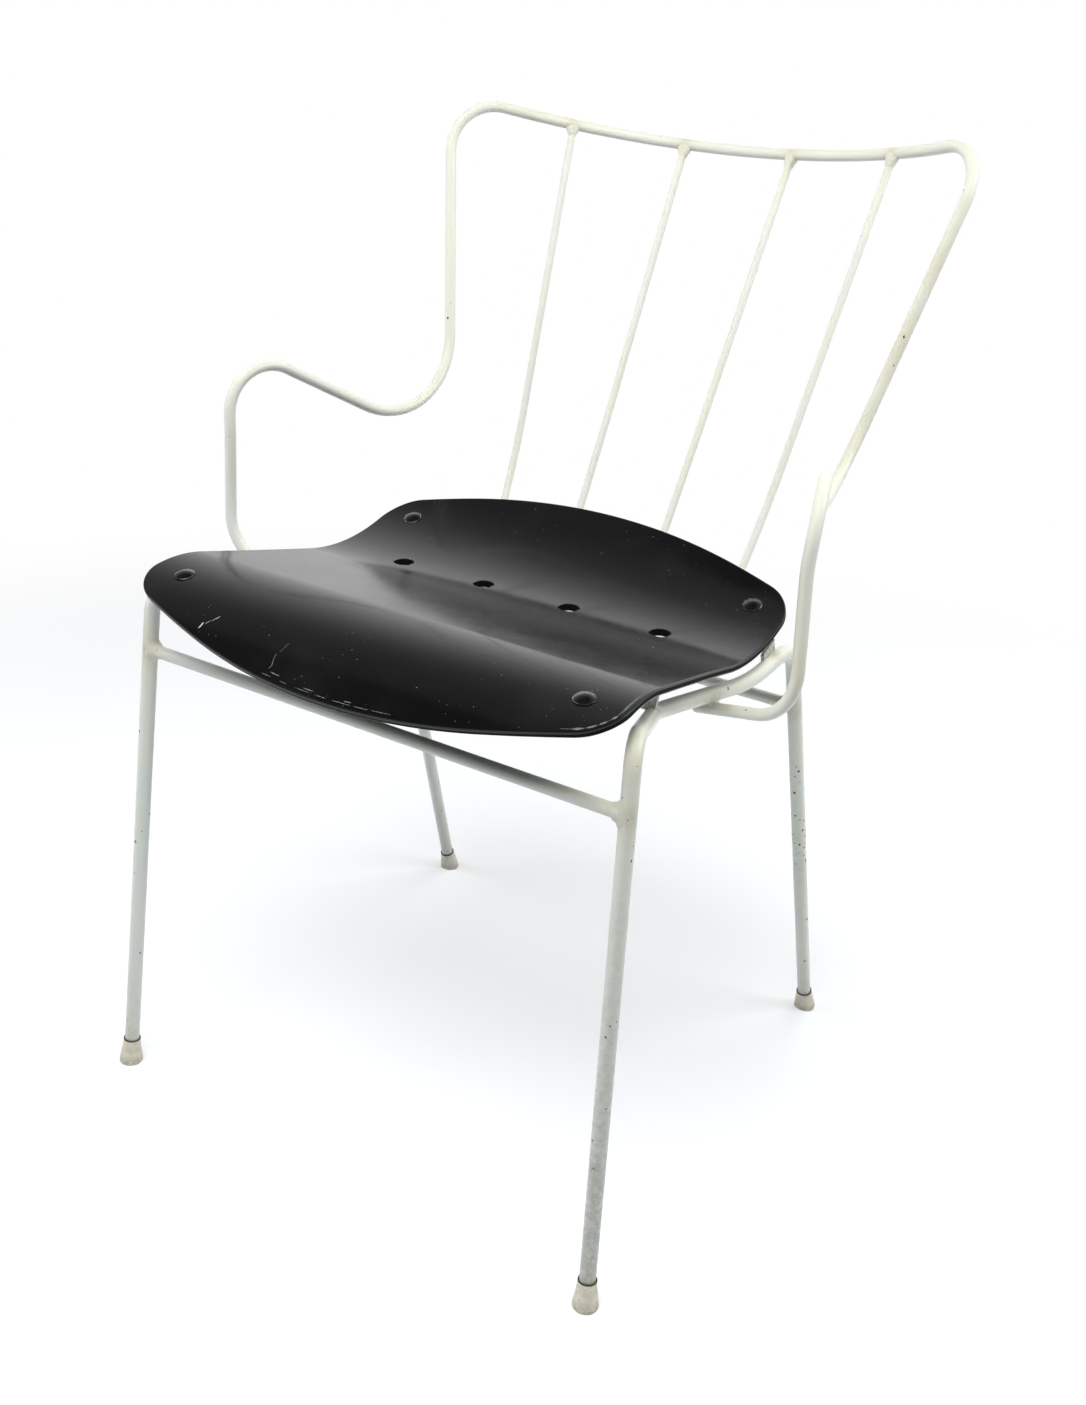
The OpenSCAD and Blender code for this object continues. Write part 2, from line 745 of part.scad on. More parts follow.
module crossbar_welds() {
  color("ivory")
    for (s = [0, 1])
      mirror([s, 0, 0])
        difference() {
          union() {
            weld_bead(front_bar_end, [-1, 0, 0], bar_d);
            weld_bead(rear_bar_end, [-1, 0, 0], bar_d);
          }
          leg_core(front_bar_end, front_foot, front_knee, weld_gap);
          leg_core(rear_bar_end, rear_foot, rear_knee, weld_gap);
        }
}

module arm_loop_welds() {
  color("ivory")
    for (s = [0, 1])
      mirror([s, 0, 0])
        difference() {
          along((arm_rail_point + arm_cross) / 2, -tail_dir) {
            sphere(d = arm_weld_d, $fn = 32);
            cylinder(h = arm_weld_run, d1 = arm_weld_d, d2 = arm_rod_d + 3, $fn = 32);
          }
          rail_straight(weld_gap);
          span(arm_cross - tail_dir * 30, tail_tip, arm_rod_d + 2 * weld_gap);
        }
}

module stand() {
  translate([0, -mid_y, 0])
    children();
}

module right() {
  stand()
    mirror([1, 0, 0])
      children();
}

stand() side_frame();  // side_frame_left
right() side_frame();  // side_frame_right
stand() crossbar(front_bar_end, front_foot, front_knee);  // front_crossbar
stand() crossbar(rear_bar_end, rear_foot, rear_knee);  // rear_crossbar
stand() arm_back_rod();
stand() outer_spindle();  // spindle_outer_left
stand() inner_spindle();  // spindle_inner_left
right() inner_spindle();  // spindle_inner_right
right() outer_spindle();  // spindle_outer_right
stand() seat_shell();
stand() front_lug();  // seat_lug_front_left
right() front_lug();  // seat_lug_front_right
stand() rear_lug();  // seat_lug_rear_left
right() rear_lug();  // seat_lug_rear_right
stand() seat_bolt(front_bolt, front_lean);  // seat_bolt_front_left
right() seat_bolt(front_bolt, front_lean);  // seat_bolt_front_right
stand() seat_bolt(rear_bolt, rear_lean);  // seat_bolt_rear_left
right() seat_bolt(rear_bolt, rear_lean);  // seat_bolt_rear_right
stand() seat_washers();
stand() seat_nuts();
stand() foot_cap(front_foot, front_knee);  // foot_cap_front_left
right() foot_cap(front_foot, front_knee);  // foot_cap_front_right
stand() foot_cap(rear_foot, rear_knee);  // foot_cap_rear_left
right() foot_cap(rear_foot, rear_knee);  // foot_cap_rear_right
stand() spindle_top_welds();
stand() spindle_foot_welds();
stand() crossbar_welds();
stand() arm_loop_welds();
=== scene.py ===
import math
import random

import bpy
from mathutils import Matrix, Vector, noise
from mathutils.bvhtree import BVHTree
from mathutils.geometry import delaunay_2d_cdt


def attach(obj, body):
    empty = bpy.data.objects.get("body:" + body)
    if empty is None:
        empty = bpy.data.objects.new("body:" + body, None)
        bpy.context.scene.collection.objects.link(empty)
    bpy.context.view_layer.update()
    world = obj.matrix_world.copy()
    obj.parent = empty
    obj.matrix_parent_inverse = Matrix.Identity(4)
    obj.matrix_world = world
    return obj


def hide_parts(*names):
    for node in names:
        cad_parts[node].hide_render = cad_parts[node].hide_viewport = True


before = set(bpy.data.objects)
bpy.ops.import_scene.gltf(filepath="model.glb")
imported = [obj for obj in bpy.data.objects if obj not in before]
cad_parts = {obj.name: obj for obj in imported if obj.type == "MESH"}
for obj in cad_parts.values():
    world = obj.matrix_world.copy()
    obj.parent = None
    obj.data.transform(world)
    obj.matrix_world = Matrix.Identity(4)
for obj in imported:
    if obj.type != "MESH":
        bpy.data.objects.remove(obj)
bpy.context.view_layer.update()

# Places and sizes are in the drawing's millimetres, with the sitter's left at +x and the front at
# -y. at() takes them into the shared frame, whose middle is at the drawing's y = midY.
mm = 0.001
midY = 5.511
hands = ((1, "left"), (-1, "right"))
sheetLift = 0.035     # how far a chip or a scratch lies above its surface

for leftOver in ("Cube", "Light", "Camera"):
    if leftOver in bpy.data.objects:
        bpy.data.objects.remove(bpy.data.objects[leftOver])
print("chair frame loaded")


def at(x, y, z):
    return Vector((x, y - midY, z)) * mm


def flipped(p):
    return Vector((-p.x, p.y, p.z))


def otherHand(points):
    return [flipped(p) for p in points]


def towards(a, b, run):
    return a + (b - a).normalized() * run


def atHeight(a, b, z):
    return a + (b - a) * ((z - a.z) / (b.z - a.z))


# meshes

def newPiece(name, points, faces, material, smooth=True):
    mesh = bpy.data.meshes.new(name)
    mesh.from_pydata([tuple(p) for p in points], [], faces)
    mesh.materials.append(material)
    if smooth:
        mesh.polygons.foreach_set("use_smooth", [True] * len(mesh.polygons))
    mesh.update()
    piece = bpy.data.objects.new(name, mesh)
    bpy.context.scene.collection.objects.link(piece)
    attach(piece, "root")
    return piece


def wearAndShadeIn(piece):
    # "wear" holds grime in red, yellowing in green and soil with painted shade in blue, each fading away from
    # its place
    mesh = piece.data
    layer = mesh.attributes.new("wear", "FLOAT_COLOR", "POINT")
    values = []
    for vertex in mesh.vertices:
        marks = []
        for kind in ("grime", "yellow", "soil"):
            mark = 0.0
            for spot, reach, strength in wearAndShadeSpots[kind]:
                gap = (vertex.co - spot).length
                if gap < reach:
                    mark = max(mark, strength * (1 - gap / reach) ** 1.4)
            marks.append(min(1.0, mark))
        values += [*marks, 1.0]
    layer.data.foreach_set("color", values)


def bentRun(corners, radii, bendStep=2.4, straightStep=6.0):
    # the points of a rod's axis: straights joined by round bends
    run = [corners[0].copy()]
    for i in range(1, len(corners)):
        here, last = corners[i], run[-1]
        if i < len(corners) - 1:
            u = (here - corners[i - 1]).normalized()
            w = (corners[i + 1] - here).normalized()
            turn = u.angle(w)
            r = radii[i] * mm
            start = here - u * (r * math.tan(turn / 2))
        else:
            start = here
        straight = (start - last).length
        steps = max(1, round(straight / (straightStep * mm)))
        run += [last.lerp(start, k / steps) for k in range(1, steps + 1)]
        if i < len(corners) - 1:
            n = u.cross(w).normalized()
            hub = start + n.cross(u) * r
            steps = max(4, math.ceil(r * turn / (bendStep * mm)))
            for k in range(1, steps + 1):
                run.append(hub + Matrix.Rotation(turn * k / steps, 3, n) @ (start - hub))
    return run


def tubeFaces(rings, sides):
    # faces between rings of points that follow each other, and one to close either end
    faces = []
    for i in range(rings - 1):
        a, b = i * sides, (i + 1) * sides
        for k in range(sides):
            n = (k + 1) % sides
            faces.append((a + k, a + n, b + n, b + k))
    last = (rings - 1) * sides
    return faces + [tuple(reversed(range(sides))), tuple(range(last, last + sides))]


def rodMesh(name, run, width, material, sides=36, tips=False):
    # sweeps a round section along the run without twisting it; tips are rounded off
    r = width / 2 * mm
    along = [(run[min(i + 1, len(run) - 1)] - run[max(i - 1, 0)]).normalized() for i in range(len(run))]
    side = along[0].orthogonal().normalized()
    stations = []
    for i, (p, t) in enumerate(zip(run, along)):
        if i:
            side = (along[i - 1].rotation_difference(t) @ side).normalized()
        side = (side - t * side.dot(t)).normalized()
        stations.append((p, t, side.copy(), 1.0))
    if tips:
        edge = [(0.0, 0.93), (-0.18, 0.99), (-0.45, 1.0)]     # (back from the end, share of the radius)
        p, t, s, _ = stations[0]
        stations[0:1] = [(p - t * (back * r), t, s, share) for back, share in edge]
        p, t, s, _ = stations[-1]
        stations[-1:] = [(p + t * (back * r), t, s, share) for back, share in reversed(edge)]
    points = []
    for p, t, s, share in stations:
        other = t.cross(s)
        for k in range(sides):
            turn = 2 * math.pi * k / sides
            points.append(p + (s * math.cos(turn) + other * math.sin(turn)) * (r * share))
    piece = newPiece(name, points, tubeFaces(len(stations), sides), material)
    for flat in (-1, -2):
        piece.data.polygons[flat].use_smooth = False
    return piece


def turnedMesh(name, outline, foot, axis, material, sides=48, floorCut=False):
    # turns an outline of (radius, height) in millimetres about an axis through a foot
    u = axis.normalized()
    s = u.orthogonal().normalized()
    o = u.cross(s)
    points = []
    for radius, height in outline:
        for k in range(sides):
            turn = 2 * math.pi * k / sides
            p = foot + u * (height * mm) + (s * math.cos(turn) + o * math.sin(turn)) * (radius * mm)
            if floorCut and p.z < 0:
                p.z = 0
            points.append(p)
    return newPiece(name, points, tubeFaces(len(outline), sides), material)


def groundOf(piece):
    mesh = piece.data
    return BVHTree.FromPolygons([v.co for v in mesh.vertices], [tuple(f.vertices) for f in mesh.polygons])


# materials

class Nodes:
    # a short way to write a material's node tree
    def __init__(self, name):
        self.material = bpy.data.materials.new(name)
        self.material.use_nodes = True
        self.tree = self.material.node_tree
        self.tree.nodes.clear()
        self.out = self.tree.nodes.new("ShaderNodeOutputMaterial")
        self.skin = self.tree.nodes.new("ShaderNodeBsdfPrincipled")
        self.tree.links.new(self.skin.outputs[0], self.out.inputs["Surface"])
        self.place = self.add("ShaderNodeTexCoord").outputs["Object"]

    def add(self, kind, **settings):
        node = self.tree.nodes.new(kind)
        for key, value in settings.items():
            setattr(node, key, value)
        return node

    def feed(self, node, values):
        for key, value in values.items():
            socket = node.inputs[key]
            if isinstance(value, bpy.types.NodeSocket):
                self.tree.links.new(value, socket)
            else:
                socket.default_value = value
        return node

    def noise(self, scale, detail=2.0, rough=0.5):
        node = self.add("ShaderNodeTexNoise")
        self.feed(node, {"Vector": self.place, "Scale": scale, "Detail": detail, "Roughness": rough})
        return node.outputs["Fac"]

    def spots(self, scale, place):
        node = self.add("ShaderNodeTexVoronoi")
        self.feed(node, {"Vector": place, "Scale": scale})
        return node.outputs["Distance"], node.outputs["Color"]

    def ramp(self, value, low, high, out0=0.0, out1=1.0, smooth=True):
        node = self.add("ShaderNodeMapRange", interpolation_type="SMOOTHSTEP" if smooth else "LINEAR")
        self.feed(node, {"Value": value, "From Min": low, "From Max": high, "To Min": out0, "To Max": out1})
        return node.outputs["Result"]

    def sum(self, kind, a, b=0.0, clamp=False):
        node = self.add("ShaderNodeMath", operation=kind, use_clamp=clamp)
        self.feed(node, {0: a, 1: b})
        return node.outputs[0]

    def vector(self, kind, a, b):
        node = self.add("ShaderNodeVectorMath", operation=kind)
        self.feed(node, {0: a, 1: b})
        return node.outputs["Value" if kind == "LENGTH" else "Vector"]

    def blend(self, share, a, b):
        node = self.add("ShaderNodeMix", data_type="RGBA")
        for key, value in ((0, share), (6, a), (7, b)):
            if isinstance(value, bpy.types.NodeSocket):
                self.tree.links.new(value, node.inputs[key])
            else:
                node.inputs[key].default_value = value if key == 0 else (*value, 1.0)
        return node.outputs[2]

    def pick(self, value, channel):
        node = self.add("ShaderNodeSeparateColor")
        self.feed(node, {"Color": value})
        return node.outputs[channel]

    def attribute(self, name):
        return self.add("ShaderNodeAttribute", attribute_name=name).outputs["Fac"]

    def warped(self, scale, amount):
        node = self.add("ShaderNodeTexNoise")
        self.feed(node, {"Vector": self.place, "Scale": scale, "Detail": 2.0})
        lift = self.vector("SUBTRACT", node.outputs["Color"], (0.5, 0.5, 0.5))
        shift = self.add("ShaderNodeVectorMath", operation="SCALE")
        self.feed(shift, {0: lift, "Scale": amount})
        return self.vector("ADD", self.place, shift.outputs[0])

    def bumps(self, layers):
        # layers of (height, depth in metres), the finest last
        normal = None
        for height, depth in layers:
            node = self.add("ShaderNodeBump")
            self.feed(node, {"Height": height, "Strength": 1.0, "Distance": depth})
            if normal is not None:
                self.tree.links.new(normal, node.inputs["Normal"])
            normal = node.outputs["Normal"]
        self.tree.links.new(normal, self.skin.inputs["Normal"])


enamelLook = {
    "cream": (0.86, 0.865, 0.755), "warm": (0.865, 0.855, 0.73), "cool": (0.84, 0.86, 0.80),
    "yellow": (0.75, 0.715, 0.56), "soil": (0.37, 0.37, 0.335), "grime": (0.30, 0.235, 0.13),
    "rust": (0.085, 0.052, 0.024), "bareSteel": (0.045, 0.038, 0.031),
}


def makeEnamel(name="enamel", stainAndShade=0.0):
    look = enamelLook
    n = Nodes(name)
    tone = n.blend(n.ramp(n.noise(7.0, 3.0, 0.6), 0.42, 0.68), look["cream"], look["cool"])
    tone = n.blend(n.ramp(n.noise(15.0, 3.0), 0.52, 0.80, 0.0, 0.7), tone, look["warm"])
    wear = n.add("ShaderNodeAttribute", attribute_name="wear").outputs["Color"]
    mottle, fine = n.noise(210.0, 4.0, 0.7), n.noise(620.0, 4.0, 0.7)
    yellow = n.sum("MULTIPLY", n.pick(wear, 1), n.ramp(n.noise(45.0, 3.0), 0.30, 0.60, 0.35, 1.0))
    tone = n.blend(yellow, tone, look["yellow"])
    # painted shade with stain: a stained piece is darkened as a whole towards soil grey
    tone = n.blend(0.6 * stainAndShade, tone, look["soil"])
    # soil and painted shade: the blue mark pulls the rods towards soil grey near the feet and down the legs,
    # where it also stands in for the shade that deepens towards the floor
    soil = n.sum("MULTIPLY", n.pick(wear, 2), n.ramp(mottle, 0.30, 0.65, 0.45, 1.0))
    tone = n.blend(n.sum("MULTIPLY", soil, 0.8), tone, look["soil"])

    # brown dirt in the creases of the welds and by the caps
    dirt = n.sum("ADD", n.pick(wear, 0), n.sum("MULTIPLY", n.ramp(mottle, 0.35, 0.65), stainAndShade), clamp=True)
    dirt = n.sum("MULTIPLY", dirt, n.ramp(fine, 0.36, 0.60, 0.12, 1.0))
    tone = n.blend(dirt, tone, look["grime"])
    tone = n.blend(n.sum("MULTIPLY", n.ramp(dirt, 0.50, 0.90), 0.85), tone, look["rust"])

    # pin-head pits, more of them under the blue mark of soil and painted shade
    ragged = n.warped(900.0, 0.0009)
    gap, tint = n.spots(95.0, ragged)
    few = n.ramp(n.sum("ADD", n.pick(tint, 0), n.sum("MULTIPLY", n.pick(wear, 2), 0.22)), 0.86, 0.88)
    pit = n.sum("MULTIPLY", n.sum("LESS_THAN", gap, n.sum("MULTIPLY", n.pick(tint, 1), 0.075)), few)
    tone = n.blend(n.sum("MULTIPLY", pit, 0.85), tone, look["bareSteel"])

    worn = n.sum("MAXIMUM", pit, n.sum("MAXIMUM", dirt, n.sum("MULTIPLY", soil, 0.5)))
    n.feed(n.skin, {
        "Base Color": tone,
        "Roughness": n.sum("ADD", n.ramp(n.noise(40.0, 3.0, 0.5), 0.3, 0.75, 0.285, 0.33),
                           n.sum("MULTIPLY", worn, 0.35), clamp=True),
        "IOR": 1.5, "Coat Weight": 0.25, "Coat Roughness": 0.18,
    })
    n.bumps([
        (n.noise(30.0, 1.0), 0.00004),
        (n.noise(700.0, 2.0), 0.000005),
        (n.sum("SUBTRACT", 1.0, pit), 0.00012),
    ])
    return n.material


def makeBareSteel():
    # the floor of a chip: dark steel with brown rust
    n = Nodes("chipSteel")
    crust = n.noise(900.0, 4.0, 0.7)
    tone = n.blend(n.ramp(crust, 0.42, 0.62), enamelLook["bareSteel"], enamelLook["rust"])
    n.feed(n.skin, {"Base Color": tone, "Roughness": n.ramp(crust, 0.3, 0.7, 0.5, 0.8)})
    n.bumps([(crust, 0.00010)])
    return n.material


scuffAndSheenLook = {"tan": (0.34, 0.27, 0.17), "blue": (0.16, 0.21, 0.24), "white": (0.70, 0.74, 0.75)}


def makeScuffAndSheen():
    # scratches in the seat and a painted highlight along its front lip: "tint" runs from tan at 0 through
    # blue to white at 1
    n = Nodes("seatScuffAndSheen")
    tint, crumb = n.attribute("tint"), n.noise(1400.0, 3.0, 0.7)
    tone = n.blend(n.ramp(tint, 0.1, 0.5, smooth=False), scuffAndSheenLook["tan"], scuffAndSheenLook["blue"])
    tone = n.blend(n.ramp(tint, 0.5, 0.9, smooth=False), tone, scuffAndSheenLook["white"])
    tone = n.blend(n.ramp(crumb, 0.52, 0.66, 0.0, 0.85), tone, seatLook["black"])
    n.feed(n.skin, {"Base Color": tone, "Roughness": 0.55})
    n.bumps([(crumb, 0.00005)])
    return n.material


seatLook = {"black": (0.0035, 0.0035, 0.0040), "worn": (0.012, 0.012, 0.013), "dust": (0.42, 0.42, 0.40)}


def makeSeatGloss():
    look = seatLook
    n = Nodes("seatGloss")
    haze = n.noise(11.0, 5.0, 0.62)
    tone = n.blend(n.ramp(haze, 0.45, 0.85), look["black"], look["worn"])
    ragged = n.warped(700.0, 0.0009)
    gap, tint = n.spots(70.0, ragged)
    speck = n.sum("MULTIPLY", n.sum("LESS_THAN", gap, n.sum("MULTIPLY", n.pick(tint, 1), 0.030)),
                  n.ramp(n.pick(tint, 0), 0.70, 0.72))
    tone = n.blend(n.sum("MULTIPLY", speck, 0.7), tone, look["dust"])
    gap, tint = n.spots(330.0, ragged)
    dust = n.sum("MULTIPLY", n.sum("LESS_THAN", gap, n.sum("MULTIPLY", n.pick(tint, 1), 0.13)),
                 n.ramp(n.sum("ADD", n.pick(tint, 0), n.sum("MULTIPLY", haze, 0.5)), 0.98, 1.02))
    tone = n.blend(n.sum("MULTIPLY", dust, 0.45), tone, look["dust"])
    n.feed(n.skin, {
        "Base Color": tone,
        "Roughness": n.sum("ADD", n.ramp(n.noise(26.0, 6.0, 0.65), 0.3, 0.8, 0.09, 0.15),
                           n.ramp(n.noise(1700.0, 2.0), 0.35, 0.65, 0.0, 0.09)),
        "IOR": 1.5,
    })
    n.bumps([
        (n.noise(6.0, 1.0), 0.00014),
        (n.noise(130.0, 2.0), 0.000007),
        (n.noise(1300.0, 2.0), 0.000006),
    ])
    return n.material


def makePlyEdge():
    n = Nodes("plyEdge")
    tone = n.blend(n.ramp(n.noise(500.0, 4.0), 0.4, 0.8), (0.0018, 0.0017, 0.0018), (0.013, 0.008, 0.006))
    n.feed(n.skin, {"Base Color": tone, "Roughness": 0.6, "IOR": 1.5, "Specular IOR Level": 0.05})
    n.bumps([(n.noise(380.0, 4.0), 0.00012)])
    return n.material


def makeBoltBlack():
    n = Nodes("boltBlack")
    wear = n.noise(600.0, 4.0, 0.6)
    tone = n.blend(n.ramp(wear, 0.55, 0.8), (0.006, 0.006, 0.0065), (0.022, 0.021, 0.020))
    n.feed(n.skin, {"Base Color": tone, "Roughness": n.ramp(wear, 0.3, 0.8, 0.10, 0.2),
                    "IOR": 1.5, "Coat Weight": 0.5, "Coat Roughness": 0.08})
    n.bumps([(n.noise(420.0, 3.0), 0.000012)])
    return n.material


def makeBoltRim():
    # painted highlight: the edge of a bolt head, lighter in patches, in place of the light its rim reflects
    n = Nodes("paintedBoltRimHighlight")
    rimSheen = n.ramp(n.noise(170.0, 3.0), 0.42, 0.66)
    n.feed(n.skin, {"Base Color": n.blend(rimSheen, (0.025, 0.025, 0.027), (0.26, 0.27, 0.28)),
                    "Roughness": n.ramp(rimSheen, 0.0, 1.0, 0.2, 0.35), "IOR": 1.5})
    n.bumps([(n.noise(700.0, 2.0), 0.00002)])
    return n.material


def makeZinc():
    n = Nodes("dullZinc")
    bloom = n.noise(240.0, 5.0, 0.65)
    n.feed(n.skin, {"Base Color": n.blend(n.ramp(bloom, 0.4, 0.75), (0.52, 0.52, 0.53), (0.33, 0.30, 0.26)),
                    "Metallic": 1.0, "Roughness": n.ramp(bloom, 0.3, 0.8, 0.3, 0.55)})
    n.bumps([(n.noise(900.0, 3.0), 0.00003)])
    return n.material


def makeCapRubber():
    n = Nodes("capRubber")
    mottled = n.noise(160.0, 5.0, 0.65)
    low = n.add("ShaderNodeSeparateXYZ")
    n.feed(low, {0: n.place})
    sole = n.ramp(low.outputs[2], 0.010, 0.0, 0.0, 1.0)
    tone = n.blend(n.ramp(mottled, 0.38, 0.72), (0.86, 0.81, 0.66), (0.71, 0.65, 0.52))
    dirt = n.ramp(n.noise(330.0, 4.0, 0.7), 0.56, 0.72)
    tone = n.blend(n.sum("MULTIPLY", dirt, 0.55), tone, (0.33, 0.27, 0.20))
    scuffed = n.ramp(n.noise(210.0, 4.0), 0.35, 0.65, 0.2, 0.7)
    tone = n.blend(n.sum("MULTIPLY", sole, scuffed), tone, (0.38, 0.33, 0.27))
    n.feed(n.skin, {"Base Color": tone, "Roughness": 0.62, "IOR": 1.45})
    n.bumps([(n.noise(240.0, 4.0, 0.6), 0.00020), (n.noise(1500.0, 2.0), 0.00004)])
    return n.material


def makeDarkGap():
    # painted shade for the gap round a cap's rod and for the cap's top edge
    n = Nodes("capShadow")
    tone = n.blend(n.noise(800.0), (0.030, 0.027, 0.024), (0.10, 0.085, 0.065))
    n.feed(n.skin, {"Base Color": tone, "Roughness": 0.8})
    n.bumps([(n.noise(900.0), 0.00005)])
    return n.material


enamel = makeEnamel()
lugEnamel = makeEnamel("stainedAndShadedEnamel", 0.75)
bareSteel = makeBareSteel()
seatScuffAndSheen = makeScuffAndSheen()
seatGloss = makeSeatGloss()
plyEdge = makePlyEdge()
boltBlack = makeBoltBlack()
paintedBoltRimHighlight = makeBoltRim()
dullZinc = makeZinc()
capRubber = makeCapRubber()
capShadow = makeDarkGap()
print("materials ready")


# side frames: foot, rail and rear leg bent from one rod

sideFrame = {
    "width": 12.2,
    "frontFoot": (230, -243.4, 0), "rearFoot": (211, 207.3, 0), "sole": 6,
    "bends": [((210, -220, 435), 18), ((170, -112, 405.6), 39),
              ((196, -11, 403.4), 170), ((200, 59, 415), 28)],
}
frontFoot, rearFoot = at(*sideFrame["frontFoot"]), at(*sideFrame["rearFoot"])
frontKnee, waist, swell, rearKnee = [at(*place) for place, _ in sideFrame["bends"]]

crossbars = {"width": 10, "frontHeight": 382.5, "rearHeight": 356.4}
frontBarEnd = atHeight(frontFoot, frontKnee, crossbars["frontHeight"] * mm)
rearBarEnd = atHeight(rearFoot, rearKnee, crossbars["rearHeight"] * mm)

# arm and back rod: one rod for both arms and the top rail

armRod = {
    "width": 9.5,
    "horn": ((247.8, 194.8, 792.4), 40.5), "crest": ((0, 362.6, 741.2), 345),
    "elbow": ((182, 124.8, 492.4), 76.5), "hand": ((259.6, -85.6, 598.6), 38),
    "post": ((256.1, -86, 525), 180),
    "underRail": 61.8, "underGap": 0.11,
    "tailRun": 80.8, "tailYaw": 21, "tailSlope": 16, "tailBend": 47, "tailEnd": 18,
}
horn, crest, elbow, hand, post = [at(*armRod[key][0]) for key in ("horn", "crest", "elbow", "hand", "post")]
yaw, slope = math.radians(armRod["tailYaw"]), math.radians(armRod["tailSlope"])
tailWay = Vector((-math.cos(yaw) * math.cos(slope), math.sin(yaw) * math.cos(slope), -math.sin(slope)))
railWay = (swell - waist).normalized()
railUp = railWay.cross(tailWay).normalized()
railPoint = towards(waist, swell, armRod["underRail"] * mm)
armCross = railPoint - railUp * ((sideFrame["width"] + armRod["width"]) / 2 + armRod["underGap"]) * mm
tailBend = armCross - tailWay * armRod["tailRun"] * mm
tailTip = armCross + tailWay * armRod["tailEnd"] * mm

halfArm = [horn, elbow, hand, post, tailBend, tailTip]
halfBends = [armRod[key][1] for key in ("horn", "elbow", "hand", "post")] + [armRod["tailBend"], 0]
armCorners = otherHand(reversed(halfArm)) + [crest] + halfArm
armBends = list(reversed(halfBends)) + [armRod["crest"][1]] + halfBends

# straight stretches of the rods
frontLeg, rearLeg = [frontFoot, frontKnee], [rearFoot, rearKnee]
armPost, backSide = [post, tailBend], [elbow, horn]

# the long curve of the top rail
crestAim = (horn - crest).normalized()
crestIn = Vector((0, crestAim.y, crestAim.z)).normalized()
crestRadius = armRod["crest"][1] * mm
crestHub = crest + crestIn * (crestRadius / crestAim.x)


def railAt(x):
    x *= mm
    return crestHub - crestIn * math.sqrt(crestRadius ** 2 - x * x) + Vector((x, 0, 0))


def railWayAt(x):
    return (railAt(x + 0.5) - railAt(x - 0.5)).normalized()


spindles = {
    "width": 6.4,
    "outer": {"top": 152.2, "mid": (126, 152.8, 493.2), "bend": 560, "foot": 113},
    "inner": {"top": 51.7, "mid": (45.1, 174.6, 540), "bend": 400, "foot": 40.3},
}

# where the enamel has aged, and where shade is painted on it: (place, reach, strength), the reach in metres
wearAndShadeSpots = {"grime": [], "yellow": [], "soil": []}


def age(kind, place, reach, strength, both=True):
    wearAndShadeSpots[kind].append((place, reach, strength))
    if both:
        wearAndShadeSpots[kind].append((flipped(place), reach, strength))


def spindleFoot(kind):
    return at(spindles[kind]["foot"], rearBarEnd.y / mm + midY, rearBarEnd.z / mm)


for kind in ("outer", "inner"):
    age("grime", railAt(spindles[kind]["top"]), 0.0095, 0.62)
    age("grime", spindleFoot(kind), 0.012, 0.8)
    age("yellow", railAt(spindles[kind]["top"]), 0.030, 0.6)
for end in (frontBarEnd, rearBarEnd):
    age("grime", end, 0.013, 0.7)
    age("yellow", end, 0.040, 0.7)
age("grime", (railPoint + armCross) / 2, 0.015, 0.8)
age("yellow", armCross, 0.060, 0.9)
for start, end, run in ((waist, frontKnee, 0.020), (swell, rearKnee, 0.038)):
    age("grime", towards(start, end, run) + Vector((0, 0, sideFrame["width"] / 2 * mm)), 0.010, 1.0)
for foot, knee in (frontLeg, rearLeg):
    age("grime", towards(foot, knee, 0.023), 0.022, 0.5)
    age("soil", towards(foot, knee, 0.030), 0.110, 0.35)

# marks of this chair alone, by height in millimetres on the rods
# the soil marks on the legs are soil and painted shade together: they darken the legs towards the floor
loneMarks = [
    ("soil", frontLeg, 60, 0.40, 1.0), ("soil", frontLeg, 200, 0.16, 0.35), ("soil", rearLeg, 200, 0.22, 0.3),
    ("yellow", backSide, 560, 0.06, 1.0), ("yellow", backSide, 640, 0.07, 0.7),
    ("yellow", backSide, 700, 0.06, 0.7), ("yellow", frontLeg, 420, 0.045, 0.6),
    ("yellow", armPost, 450, 0.04, 0.8),
]
for kind, rod, height, reach, strength in loneMarks:
    age(kind, atHeight(*rod, height * mm), reach, strength, both=False)
age("yellow", railAt(-190), 0.07, 0.5, both=False)
# a brown stain on the front of the front left leg
stain = atHeight(*frontLeg, 120 * mm) + Vector((0, -sideFrame["width"] / 2 * mm, 0))
age("grime", stain, 0.005, 1.0, both=False)


def enamelled(piece, node):
    wearAndShadeIn(piece)
    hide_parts(node)


for s, side in hands:
    sole = sideFrame["sole"] * mm
    corners = [towards(*frontLeg, sole), frontKnee, waist, swell, rearKnee, towards(*rearLeg, sole)]
    if s < 0:
        corners = otherHand(corners)
    radii = [0] + [bend for _, bend in sideFrame["bends"]] + [0]
    rod = rodMesh("side_rod_" + side, bentRun(corners, radii), sideFrame["width"], enamel, sides=44)
    enamelled(rod, "side_frame_" + side)

for name, end in (("front", frontBarEnd), ("rear", rearBarEnd)):
    run = bentRun([flipped(end), end], [0, 0], straightStep=4)
    enamelled(rodMesh(name + "_bar", run, crossbars["width"], enamel), name + "_crossbar")

armRun = bentRun(armCorners, armBends)
enamelled(rodMesh("arm_and_back_rod", armRun, armRod["width"], enamel, sides=40, tips=True), "arm_back_rod")

